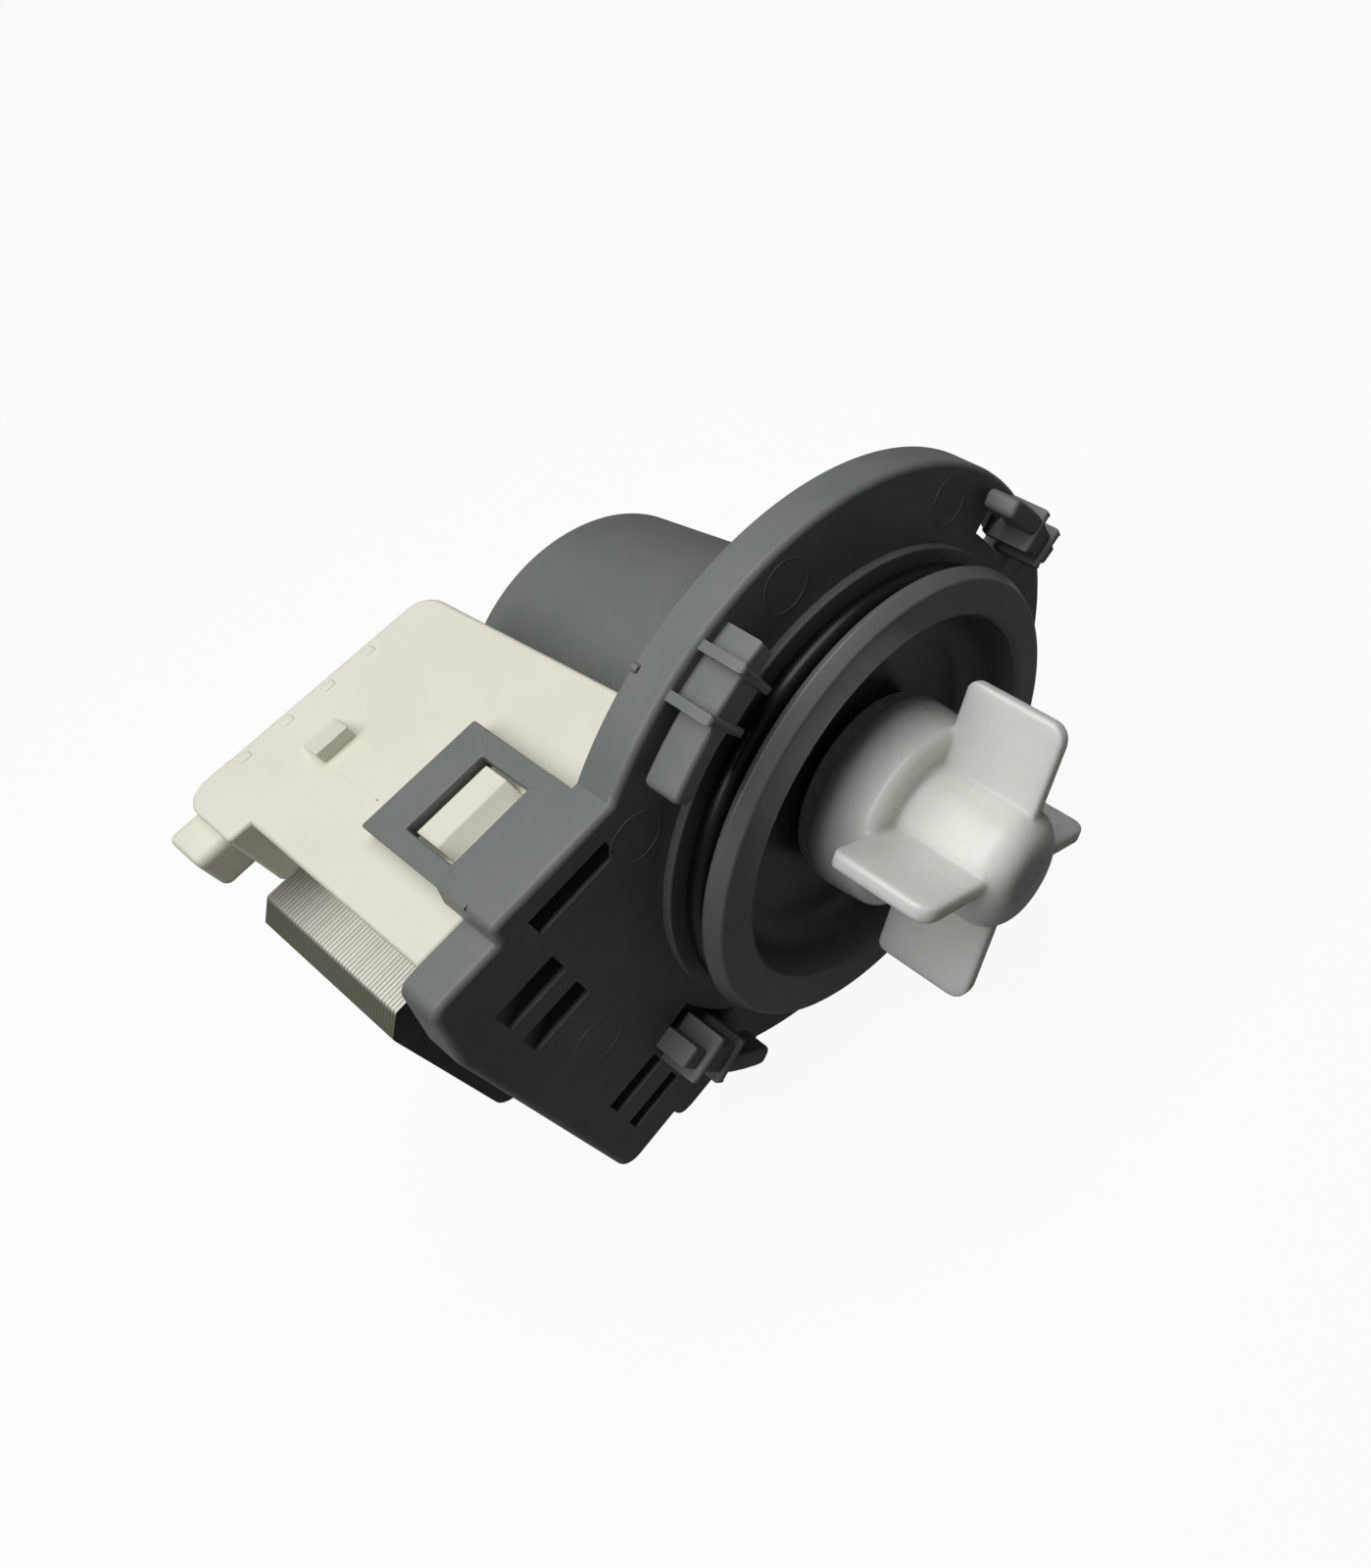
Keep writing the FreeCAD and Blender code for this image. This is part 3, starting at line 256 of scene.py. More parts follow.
def eased(corners: Sequence[Corner], steps: int = 5) -> list[Point2]:
    """Round the corners of an outline.

    Args:
        corners: (u, v, radius) of each corner, in order.
        steps: how many runs make a rounded corner.

    Returns:
        The points of the rounded outline.
    """
    most = 0.49
    points: list[Point2] = []
    for index, (u, v, radius) in enumerate(corners):
        here = Vector((u, v))
        before = Vector(corners[index - 1][:2]) - here
        after = Vector(corners[(index + 1) % len(corners)][:2]) - here
        if radius <= 0 or before.length < NEAR_ZERO or after.length < NEAR_ZERO:
            points.append((u, v))
            continue
        half = before.angle(after) / 2
        # Two roundings share an edge, so neither takes more than half of it.
        reach = min(radius / math.tan(half), before.length * most, after.length * most)
        real = reach * math.tan(half)
        middle = here + (before.normalized() + after.normalized()).normalized() * (real / math.sin(half))
        first = here + before.normalized() * reach - middle
        turn = first.angle_signed(here + after.normalized() * reach - middle)
        for step in range(steps + 1):
            arm = Matrix.Rotation(-turn * step / steps, 2) @ first
            points.append(tuple(middle + arm))
    return points


def polar(radius: float, turn: float) -> Point2:
    """Give x and z at a radius and an angle in degrees from the clip side, towards the coils."""
    return -radius * math.sin(math.radians(turn)), radius * math.cos(math.radians(turn))


def arc(radius: float, start: float, end: float, steps: int = 8) -> list[Point2]:
    """Give points along an arc between two angles in degrees."""
    return [polar(radius, start + (end - start) * step / steps) for step in range(steps + 1)]


def sector(inner: float, outer: float, start: float, end: float, steps: int = 8) -> list[Point2]:
    """Give the outline of a ring's sector."""
    return arc(outer, start, end, steps) + arc(inner, end, start, steps)


def sharp(points: Sequence[Point2]) -> list[Corner]:
    """Turn points into corners that eased leaves as they are."""
    return [(*point, 0.0) for point in points]


def join(name: str, pieces: Sequence[Piece]) -> Piece:
    """Join pieces into one mesh object.

    Args:
        name: the joined piece's name.
        pieces: the mesh objects.

    Returns:
        The joined piece.
    """
    bpy.ops.object.select_all(action="DESELECT")
    for piece in pieces:
        piece.select_set(True)
    bpy.context.view_layer.objects.active = pieces[0]
    bpy.ops.object.join()
    pieces[0].name = name
    return pieces[0]


def cut_away(piece: Piece, tool: Piece) -> None:
    """Cut one mesh with another, and drop the tool."""
    shape(piece, "BOOLEAN", operation="DIFFERENCE", object=tool, solver="MANIFOLD")
    bpy.data.objects.remove(tool)


def unite(piece: Piece, other: Piece) -> None:
    """Grow one mesh by another, and drop the other."""
    shape(piece, "BOOLEAN", operation="UNION", object=other, solver="MANIFOLD")
    bpy.data.objects.remove(other)


def ease_edges(piece: Piece, width: float, steps: int = 2) -> None:
    """Round a mesh's sharp edges by a width in millimetres."""
    shape(piece, "BEVEL", width=width * MM, segments=steps, limit_method="ANGLE",
          angle_limit=math.radians(35), use_clamp_overlap=True)


def dress(piece: Piece, material: bpy.types.Material, body: str = HOUSING,
          nodes: Sequence[str] = (), smooth: float = 35.0, even: bool = True) -> None:
    """Shade a piece, give it its material and hang it on its body.

    Args:
        piece: the mesh object.
        material: its material.
        body: the body that it rides on.
        nodes: nodes of the frame that it stands for.
        smooth: edges under this angle are shaded smooth.
        even: whether broad faces keep flat shading.
    """
    take_up(piece)
    bpy.ops.object.shade_smooth_by_angle(angle=math.radians(smooth))
    if even:
        shape(piece, "WEIGHTED_NORMAL", keep_sharp=True, weight=80)
    piece.data.materials.clear()
    piece.data.materials.append(material)
    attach(piece, body)
    if nodes:
        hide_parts(*nodes)
    LOG.info("made %s with %d faces", piece.name, len(piece.data.polygons))


# Finishes
def linear(colour: str) -> tuple[float, float, float, float]:
    """Turn an sRGB hex colour into the linear values that the shaders take."""
    parts = [int(colour[index:index + 2], 16) / 255 for index in (1, 3, 5)]
    return (*[part / 12.92 if part <= 0.04045 else ((part + 0.055) / 1.055) ** 2.4 for part in parts], 1.0)


def per_metre(feature: float) -> float:
    """Give the pattern scale that makes features of a size in millimetres."""
    return 1.0 / (feature * MM)


def add_node(tree: Tree, kind: str, settings: Optional[dict[Any, Any]] = None,
             links: Optional[dict[Any, Socket]] = None) -> bpy.types.Node:
    """Add a node with its settings and links.

    Args:
        tree: the material's node tree.
        kind: the node's type.
        settings: its properties, and the values of its inputs by name or number.
        links: the outputs that feed its inputs.

    Returns:
        The node.
    """
    made = tree.nodes.new(kind)
    for key, value in (settings or {}).items():
        if isinstance(key, str) and key in made.bl_rna.properties:
            setattr(made, key, value)
        else:
            made.inputs[key].default_value = value
    for key, source in (links or {}).items():
        tree.links.new(source, made.inputs[key])
    return made


def start_material(name: str) -> tuple[bpy.types.Material, Tree, bpy.types.Node, Socket]:
    """Start a material.

    Args:
        name: the finish's name.

    Returns:
        The material, its tree, its shader and the object coordinates.
    """
    material = bpy.data.materials.new(name)
    material.use_nodes = True
    tree = material.node_tree
    tree.nodes.clear()
    place = add_node(tree, "ShaderNodeTexCoord").outputs["Object"]
    shader = add_node(tree, "ShaderNodeBsdfPrincipled")
    add_node(tree, "ShaderNodeOutputMaterial", links={"Surface": shader.outputs["BSDF"]})
    return material, tree, shader, place


@dataclass(frozen=True)
class MouldedPlastic:
    """Injection-moulded plastic: flow mottling, a fine eroded tool grain, thin scuffs and dust.

    The real tool grain is about 0.05 mm wide; it is drawn several times coarser, so that it shows.
    """

    name: str
    colour: str
    shade: str
    scuff: str
    gloss: float = 0.42
    dull: float = 0.55
    mottle_mm: float = 9.0
    grain_mm: float = 0.45
    grain_depth_mm: float = 0.012
    scuff_mm: float = 7.0
    scuff_width: Point2 = (0.002, 0.009)
    scuff_share: float = 0.12
    patch_mm: float = 11.0
    patch_range: Point2 = (0.56, 0.66)
    speck: str = "#1B1C1A"
    speck_mm: float = 3.2
    speck_size: Point2 = (0.03, 0.05)
    speck_share: float = 0.0
    ior: float = 1.49
    glow: float = 0.0
    glow_mm: float = 1.5
    glow_spread: Point3 = (1.0, 0.9, 0.75)
    grease_mm: Point2 = (0.0, 0.0)
    smear_mm: float = 3.4
    smear_range: Point2 = (0.71, 0.73)

    def make(self) -> bpy.types.Material:
        """Build the material.

        Returns:
            The material.
        """
        material, tree, shader, place = start_material(self.name)
        mottle = add_node(tree, "ShaderNodeTexNoise",
                          {"Scale": per_metre(self.mottle_mm), "Detail": 5.0, "Roughness": 0.6},
                          {"Vector": place})
        spread = add_node(tree, "ShaderNodeMapRange", {"From Min": 0.35, "From Max": 0.68},
                          {"Value": mottle.outputs["Fac"]})
        base = add_node(tree, "ShaderNodeMix",
                        {"data_type": "RGBA", "A": linear(self.colour), "B": linear(self.shade)},
                        {"Factor": spread.outputs["Result"]})
        layers = [(self._scuffs(tree, place), self.scuff)]
        if self.speck_share > 0:
            layers.append((self._specks(tree, place), self.speck))
        if self.grease_mm[1] > 0:
            layers.append((self._grease(tree, place), self.speck))
        tone = base
        for share, colour in layers:
            tone = add_node(tree, "ShaderNodeMix", {"data_type": "RGBA", "B": linear(colour)},
                            {"Factor": share, "A": tone.outputs["Result"]})
        tree.links.new(tone.outputs["Result"], shader.inputs["Base Color"])
        rough = add_node(tree, "ShaderNodeMapRange",
                         {"From Min": 0.3, "From Max": 0.7, "To Min": self.gloss, "To Max": self.dull},
                         {"Value": mottle.outputs["Fac"]})
        tree.links.new(rough.outputs["Result"], shader.inputs["Roughness"])
        grain = add_node(tree, "ShaderNodeTexNoise", {"Scale": per_metre(self.grain_mm), "Detail": 3.0},
                         {"Vector": place})
        bump = add_node(tree, "ShaderNodeBump", {"Strength": 0.6, "Distance": self.grain_depth_mm * MM},
                        {"Height": grain.outputs["Fac"]})
        tree.links.new(bump.outputs["Normal"], shader.inputs["Normal"])
        shader.inputs["IOR"].default_value = self.ior
        if self.glow > 0:
            shader.inputs["Subsurface Weight"].default_value = self.glow
            shader.inputs["Subsurface Radius"].default_value = self.glow_spread
            shader.inputs["Subsurface Scale"].default_value = self.glow_mm * MM
        return material

    def _scuffs(self, tree: Tree, place: Socket) -> Socket:
        """Thin handling scuffs, only in patches.

        Args:
            tree: the material's node tree.
            place: the object coordinates.

        Returns:
            How much of the surface they cover.
        """
        cells = add_node(tree, "ShaderNodeTexVoronoi",
                         {"feature": "DISTANCE_TO_EDGE", "Scale": per_metre(self.scuff_mm),
                          "Randomness": 1.0}, {"Vector": place})
        thin = add_node(tree, "ShaderNodeMapRange",
                        {"From Min": self.scuff_width[0], "From Max": self.scuff_width[1],
                         "To Min": 1.0, "To Max": 0.0}, {"Value": cells.outputs["Distance"]})
        patches = add_node(tree, "ShaderNodeTexNoise", {"Scale": per_metre(self.patch_mm), "Detail": 2.0},
                           {"Vector": place})
        where = add_node(tree, "ShaderNodeMapRange",
                         {"From Min": self.patch_range[0], "From Max": self.patch_range[1],
                          "To Max": self.scuff_share}, {"Value": patches.outputs["Fac"]})
        share = add_node(tree, "ShaderNodeMath", {"operation": "MULTIPLY"},
                         {0: thin.outputs["Result"], 1: where.outputs["Result"]})
        return share.outputs["Value"]

    def _specks(self, tree: Tree, place: Socket) -> Socket:
        """Tiny dark specks, in a few of many cells.

        Args:
            tree: the material's node tree.
            place: the object coordinates.

        Returns:
            How much of the surface they cover.
        """
        cells = add_node(tree, "ShaderNodeTexVoronoi", {"Scale": per_metre(self.speck_mm)},
                         {"Vector": place})
        near = add_node(tree, "ShaderNodeMapRange",
                        {"From Min": self.speck_size[0], "From Max": self.speck_size[1],
                         "To Min": 1.0, "To Max": 0.0}, {"Value": cells.outputs["Distance"]})
        parts = add_node(tree, "ShaderNodeSeparateColor", links={"Color": cells.outputs["Color"]})
        chosen = add_node(tree, "ShaderNodeMath", {"operation": "LESS_THAN", 1: self.speck_share},
                          {0: parts.outputs["Red"]})
        share = add_node(tree, "ShaderNodeMath", {"operation": "MULTIPLY"},
                         {0: near.outputs["Result"], 1: chosen.outputs["Value"]})
        return share.outputs["Value"]

    def _grease(self, tree: Tree, place: Socket) -> Socket:
        """Broken smears of black grease, that thin out between two radii round the pump's axis.

        Args:
            tree: the material's node tree.
            place: the object coordinates.

        Returns:
            How much of the surface they cover.
        """
        flat = add_node(tree, "ShaderNodeVectorMath", {"operation": "MULTIPLY", 1: (1.0, 0.0, 1.0)},
                        {0: place})
        radius = add_node(tree, "ShaderNodeVectorMath", {"operation": "LENGTH"},
                          {0: flat.outputs["Vector"]})
        inner, outer = (value * MM for value in self.grease_mm)
        fade = add_node(tree, "ShaderNodeMapRange",
                        {"From Min": inner, "From Max": outer, "To Min": 0.12, "To Max": 0.0},
                        {"Value": radius.outputs["Value"]})
        smear = add_node(tree, "ShaderNodeTexNoise",
                         {"Scale": per_metre(self.smear_mm), "Detail": 6.0, "Roughness": 0.7},
                         {"Vector": place})
        total = add_node(tree, "ShaderNodeMath", {"operation": "ADD"},
                         {0: fade.outputs["Result"], 1: smear.outputs["Fac"]})
        share = add_node(tree, "ShaderNodeMapRange",
                         {"From Min": self.smear_range[0], "From Max": self.smear_range[1],
                          "To Max": 0.9}, {"Value": total.outputs["Value"]})
        return share.outputs["Result"]


@dataclass(frozen=True)
class SheetSteel:
    """Edges of punched electrical sheet: bright sheets and dark joints, with painted shade on the left
    side and the front face and a painted shadow over the rear.
    """

    name: str
    colour: str = "#F1EEE4"
    shade: str = "#D9D6CA"
    joint: str = "#5B594F"
    # Painted shade of the left side, also used for the painted shadow over the rear.
    side: str = "#717061"
    # Painted shade: the front face, which faces away from the lamp, is near black.
    painted_front_shade: str = "#15130F"
    sheet_mm: float = 0.5
    front_mm: float = 14.1
    side_mm: Point2 = (52.55, 52.2)
    # Painted shadow of the cover's ear and edge: the sheets darken between these depths towards the rear.
    rear_shadow_mm: Point2 = (26.0, 37.5)
    rear_shadow_share: float = 0.5
    joint_width: Point2 = (0.07, 0.17)
    joint_share: float = 0.62
    drag_mm: float = 2.5
    gloss: float = 0.34
    dull: float = 0.55
    metallic: float = 0.25

    def make(self) -> bpy.types.Material:
        """Build the material.

        Returns:
            The material.
        """
        material, tree, shader, place = start_material(self.name)
        parts = add_node(tree, "ShaderNodeSeparateXYZ", links={"Vector": place})
        count = add_node(tree, "ShaderNodeMath", {"operation": "DIVIDE", 1: self.sheet_mm * MM},
                         {0: parts.outputs["Y"]})
        number = add_node(tree, "ShaderNodeMath", {"operation": "FLOOR"}, {0: count.outputs["Value"]})
        each = add_node(tree, "ShaderNodeTexWhiteNoise", {"noise_dimensions": "1D"},
                        {"W": number.outputs["Value"]})
        drag = add_node(tree, "ShaderNodeTexNoise", {"Scale": per_metre(self.drag_mm), "Detail": 4.0},
                        {"Vector": place})
        blend = add_node(tree, "ShaderNodeMath", {"operation": "MULTIPLY"},
                         {0: each.outputs["Value"], 1: drag.outputs["Fac"]})
        # The distance from the nearest joint, as a share of a sheet.
        near = add_node(tree, "ShaderNodeMath", {"operation": "PINGPONG", 1: 0.5},
                        {0: count.outputs["Value"]})
        groove = add_node(tree, "ShaderNodeMapRange",
                          {"From Min": self.joint_width[0], "From Max": self.joint_width[1],
                           "To Min": self.joint_share, "To Max": 0.0}, {"Value": near.outputs["Value"]})
        # Painted shadow: towards the rear the sheets turn to the darker side colour, where the cover's ear
        # and edge shade the core.
        rear_shadow = add_node(tree, "ShaderNodeMapRange",
                           {"From Min": self.rear_shadow_mm[0] * MM, "From Max": self.rear_shadow_mm[1] * MM,
                            "To Max": self.rear_shadow_share}, {"Value": parts.outputs["Y"]})
        # Painted shade: the left side, which faces away from the lamp, turns to the darker side colour.
        side_shade = add_node(tree, "ShaderNodeMapRange",
                        {"From Min": -self.side_mm[0] * MM, "From Max": -self.side_mm[1] * MM,
                         "To Min": 1.0, "To Max": 0.0}, {"Value": parts.outputs["X"]})
        # Painted shade: the front face, away from the lamp, is painted near black.
        front = add_node(tree, "ShaderNodeMath", {"operation": "LESS_THAN", 1: self.front_mm * MM},
                         {0: parts.outputs["Y"]})
        tone = add_node(tree, "ShaderNodeMix",
                        {"data_type": "RGBA", "A": linear(self.colour), "B": linear(self.shade)},
                        {"Factor": blend.outputs["Value"]})
        for share, colour in ((groove.outputs["Result"], self.joint),
                              (rear_shadow.outputs["Result"], self.side),
                              (side_shade.outputs["Result"], self.side),
                              (front.outputs["Value"], self.painted_front_shade)):
            tone = add_node(tree, "ShaderNodeMix", {"data_type": "RGBA", "B": linear(colour)},
                            {"Factor": share, "A": tone.outputs["Result"]})
        tree.links.new(tone.outputs["Result"], shader.inputs["Base Color"])
        # The front face, painted near black as shade, is given no metal.
        metal = add_node(tree, "ShaderNodeMath",
                         {"operation": "MULTIPLY_ADD", 1: -self.metallic, 2: self.metallic},
                         {0: front.outputs["Value"]})
        tree.links.new(metal.outputs["Value"], shader.inputs["Metallic"])
        rough = add_node(tree, "ShaderNodeMapRange", {"To Min": self.gloss, "To Max": self.dull},
                         {"Value": drag.outputs["Fac"]})
        tree.links.new(rough.outputs["Result"], shader.inputs["Roughness"])
        return material


@dataclass(frozen=True)
class Metal:
    """Turned, sintered or drawn metal: a tint that wanders a little and fine lines or pores."""

    name: str
    colour: str
    shade: str
    roughness: float = 0.3
    line_mm: Point3 = (0.2, 0.2, 0.2)
    depth_mm: float = 0.006
    wander_mm: float = 4.0

    def make(self) -> bpy.types.Material:
        """Build the material.

        Returns:
            The material.
        """
        material, tree, shader, place = start_material(self.name)
        scales = [per_metre(value) for value in self.line_mm]
        stretch = add_node(tree, "ShaderNodeMapping", {"Scale": scales}, {"Vector": place})
        lines = add_node(tree, "ShaderNodeTexNoise", {"Scale": 1.0, "Detail": 3.0},
                         {"Vector": stretch.outputs["Vector"]})
        wander = add_node(tree, "ShaderNodeTexNoise", {"Scale": per_metre(self.wander_mm), "Detail": 3.0},
                          {"Vector": place})
        tone = add_node(tree, "ShaderNodeMix",
                        {"data_type": "RGBA", "A": linear(self.colour), "B": linear(self.shade)},
                        {"Factor": wander.outputs["Fac"]})
        tree.links.new(tone.outputs["Result"], shader.inputs["Base Color"])
        bump = add_node(tree, "ShaderNodeBump", {"Strength": 0.5, "Distance": self.depth_mm * MM},
                        {"Height": lines.outputs["Fac"]})
        tree.links.new(bump.outputs["Normal"], shader.inputs["Normal"])
        shader.inputs["Metallic"].default_value = 1.0
        shader.inputs["Roughness"].default_value = self.roughness
        return material


class Finishes:
    """The pump's materials, each made once."""

    def __init__(self) -> None:
        """Make each finish."""
        # Grey talc-filled polypropylene: satin, a little blue, with paler handling marks.
        self.housing = MouldedPlastic("talc_filled_polypropylene", "#717570", "#696E69", "#888D87").make()
        # Unfilled polypropylene of the collar: smoother and glossier, with black grease by the bell.
        self.collar = MouldedPlastic("smooth_polypropylene", "#686C6A", "#616564", "#7A7F7D", gloss=0.26,
                                     dull=0.36, grain_mm=0.8, grain_depth_mm=0.005, scuff_share=0.03,
                                     speck_share=0.04, grease_mm=(12.8, 16.0)).make()
        # Acetal: ivory, waxy, lets a little light through its edges.
        self.acetal = MouldedPlastic("natural_acetal", "#E8EAE3", "#E2E4DC", "#D3D5CD", gloss=0.22,
                                     dull=0.34, grain_mm=1.2, grain_depth_mm=0.004, scuff_share=0.08,
                                     speck_share=0.035, ior=1.48, glow=0.7, glow_mm=4.0).make()
        # Glass-filled polyester of the coil cover: warm white and matt.
        self.cover = MouldedPlastic("glass_filled_polyester", "#E2E0D2", "#DDDBCC", "#CFCCBD", gloss=0.5,
                                    dull=0.62, grain_mm=0.5, grain_depth_mm=0.01, scuff_share=0.1,
                                    speck_share=0.015).make()
        # Nitrile rubber, wetted with grease: black with soft long highlights.
        self.rubber = MouldedPlastic("greased_nitrile_rubber", "#060707", "#0A0B0B", "#121314", gloss=0.3,
                                     dull=0.42, grain_mm=0.6, grain_depth_mm=0.01, ior=1.52).make()
        # Undyed nylon of the coil formers: pale straw and satin.
        self.bobbin = MouldedPlastic("natural_nylon", "#D9D2BC", "#CFC8B0", "#BDB69C", gloss=0.4,
                                     dull=0.5).make()
        # Black polyester of the rotor's hub and drive dog: dark, with the usual satin.
        self.hub = MouldedPlastic("black_polyester", "#232426", "#1C1D1F", "#3A3B3D").make()
        # Nylon filled with a dry lubricant: tan and dull.
        self.washer = MouldedPlastic("lubricated_nylon", "#B9A888", "#AD9C7C", "#CDBFA3").make()
        # Ground ferrite of the magnet: nearly black, with a fine stony grain.
        self.ferrite = MouldedPlastic("ground_ferrite", "#34322F", "#2A2927", "#55524D", gloss=0.35,
                                      dull=0.5, grain_mm=0.25).make()
        # Punched electrical sheet: bright edges with dark joints, with painted shade on its left side and
        # front face and a painted shadow over its rear.
        self.core = SheetSteel("punched_electrical_sheet").make()
        # Ground stainless steel of the shaft: bright, with fine lines round it.
        self.shaft = Metal("ground_stainless_steel", "#C9CBCC", "#B3B6B8", 0.18, (3.0, 0.08, 3.0)).make()
        # Sintered bronze of the bearings: brown and porous.
        self.bearing = Metal("sintered_bronze", "#A87B45", "#8B6336", 0.5, (0.15, 0.15, 0.15), 0.02).make()
        # Enamelled copper wire: deep orange under a clear gloss.
        self.copper = Metal("enamelled_copper_wire", "#B4602C", "#8E431B", 0.25, (0.6, 0.6, 0.6)).make()
        # Tinned brass of the terminals: pale, with rolling lines along the tabs.
        self.brass = Metal("tinned_brass", "#C9C3AE", "#B5AC8C", 0.3, (0.1, 4.0, 0.1)).make()


# The pump
@dataclass(frozen=True)
class Slot:
    """One slot of the front plate, whose floor slopes from its left to its right end."""

    left: float
    bottom: float
    width: float
    height: float
    left_depth: float
    right_depth: float


@dataclass
class PumpBody:
    """Grey moulding: flange, plate, clip, hooks, shroud and rotor can."""

    finishes: Finishes
    # Flange
    flange_radius: float = 41.0
    flange_thick: float = 5.0
    rim_steps: int = 180
    rear_edge: float = 0.2
    front_edge: float = 0.8
    step_radius: float = 31.0
    step_front: float = -1.0
    recess_radius: float = 25.45
    recess_floor: float = 2.5
    # Plate beside the flange, with its foot and slots
    plate_left: float = 51.4
    plate_bottom: float = 23.1
    slope_bottom: float = 20.4
    slope_left: float = 49.4
    foot_left: float = 43.0
    foot_corner: float = 41.0
    foot_step: float = 34.6
    foot_right: float = 30.7
    foot_bottom: float = 25.8
    foot_meet: float = 28.4
    cut_over: float = 2.0
    slots: tuple[Slot, ...] = (
        Slot(-46.4, 18.3, 7.3, 3.6, 0.6, 3.9), Slot(-46.6, 12.1, 7.3, 3.5, 0.6, 3.9),
        Slot(-46.8, -10.8, 7.3, 2.9, 2.2, 4.3), Slot(-47.0, -17.1, 7.3, 2.6, 2.2, 4.3),
        Slot(-38.4, 25.7, 9.9, 2.9, 3.0, 4.3))
    # Rotor can and shroud
    can_bore: float = 9.3
    can_rear: float = 38.3
    can_wall: float = 1.0
    pocket_bore: float = 6.0
    pocket_rear: float = 43.9
    shroud_centre: Point2 = (-4.3, 0.2)
    shroud_radius: float = 25.8
    shroud_front: float = 2.6
    shroud_rear_radius: float = 20.3
    shroud_reach: float = 43.0
    shroud_wall: float = 1.8
    shroud_cut: tuple[Point2, Point2] = ((-14.8, 5.0), (-17.9, 41.0))
    # Snap clip
    clip_left: float = 41.0
    clip_right: float = 26.8
    clip_reach: float = 19.9
    clip_bottom: float = 29.3
    clip_top: float = 31.6
    arm_top: float = 31.35
    arm_thick: float = 1.5
    eye_left: float = 38.7
    eye_right: float = 29.2
    eye_front: float = 8.8
    eye_rear: float = 15.7
    root_reach: float = 8.2
    draft: float = 0.6
    # Bayonet hooks and the windows under them
    hooks: int = 4
    hook_start: float = 10.0
    hook_inner: float = 36.8
    hook_outer: float = 39.4
    hook_front: float = -5.0
    hook_edge: float = 0.5
    middle_inner: float = 35.4
    end_straight: float = 33.0
    end_turn: float = 35.6
    rib_starts: Point2 = (14.0, 22.0)
    rib_turn: float = 1.6
    rib_inner: float = 34.6
    rib_outer: float = 40.6
    window_inner: float = 33.6
    window_outer: float = 36.9
    window_turn: float = 19.5
    blind_window: int = 1
    blind_depth: float = 3.6
    # Marks of the mould
    ejector_circle: float = 36.3
    ejector_turns: tuple[float, ...] = (-1.0, 46.0, 136.0, 179.0, 226.0, 269.0, 315.0)
    plate_ejector: Point2 = (-42.3, 4.2)
    ejector_radius: float = 3.0
    gate_turn: float = 22.0

    def build(self) -> None:
        """Build every form of the moulding."""
        grey, slot = self.finishes.housing, "housing_plastic"
        dress(self.plate(), grey, nodes=("pump_body",))
        dress(self.step_ring(), grey)
        dress(self.rotor_can(), grey)
        dress(self.shroud(), grey)
        dress(self.clip(), grey)
        hook = self.hook()
        for index in range(self.hooks):
            copy = hook.copy()
            copy.data = hook.data.copy()
            copy.name = f"bayonet_hook_{index + 1}"
            bpy.context.scene.collection.objects.link(copy)
            copy.rotation_euler = (0, -math.tau * index / self.hooks, 0)
            settle(copy)
            dress(copy, grey, smooth=50.0, even=False)
        bpy.data.objects.remove(hook)
        dress(self.tool_marks(), grey)

    def plate_outline(self) -> list[Point2]:
        """Outline of the flange with the plate on its left and the clip's root above that.

        Returns:
            The outline's points, in x and z.
        """
        top = math.degrees(math.acos(self.clip_top / self.flange_radius))
        low = math.degrees(math.acos(-self.foot_meet / self.flange_radius))
        sweep = top + 360 - low
        rim = arc(self.flange_radius, top, top - sweep, self.rim_steps)
        side = [(-self.plate_left, -self.plate_bottom, 2.2), (-self.plate_left, self.slope_bottom, 1.5),
                (-self.slope_left, self.clip_bottom, 1.8)]
        root = [(-self.clip_left - self.draft, self.clip_bottom, 0.4),
                (-self.clip_left, self.clip_top, 1.0)]
        foot = [(-self.foot_right, -self.foot_meet, 1.4), (-self.foot_step, -self.foot_bottom, 0.8),
                (-self.foot_corner, -self.foot_bottom, 2.0),
                (-self.foot_left, 0.5 - self.foot_bottom, 1.2), (-self.foot_left, -self.plate_bottom, 0.5)]
        return eased([*side, *root, *sharp(rim), *foot])

    def plate(self) -> Piece:
        """Flange, front plate and clip root as one moulding with a soft front edge.

        Returns:
            The mesh object.
        """
        plate = slab("flange_plate", [self.plate_outline()], 0.0, self.flange_thick, 0.0)
        with hold_open(plate):
            bpy.ops.mesh.dissolve_limited(angle_limit=math.radians(1))
        round_picked(plate, lambda place: place.y < NEAR_MM, self.front_edge)
        round_picked(plate, lambda place: place.y > self.flange_thick - NEAR_MM, self.rear_edge)
        unite(plate, self.clip_root())
        for cutter in self.plate_cutters():
            cut_away(plate, cutter)
        tidy_mesh(plate)
        return plate

    def clip_root(self) -> Piece:
        """Block that carries the clip's arm behind the plate, drafted at its lower left.

        Returns:
            The mesh object.
        """
        root = block("clip_root", (-self.clip_left, 4.0, self.clip_bottom - 0.3),
                     (-self.clip_right, self.root_reach, self.clip_top))
        left = NEAR_MM - self.clip_left
        with hold_open(root, lambda place: place.x < left and place.z < self.clip_bottom):
            bpy.ops.transform.translate(value=(-self.draft * MM, 0, 0))
        round_picked(root, lambda place: place.y > self.root_reach - NEAR_MM, self.rear_edge)
        return root

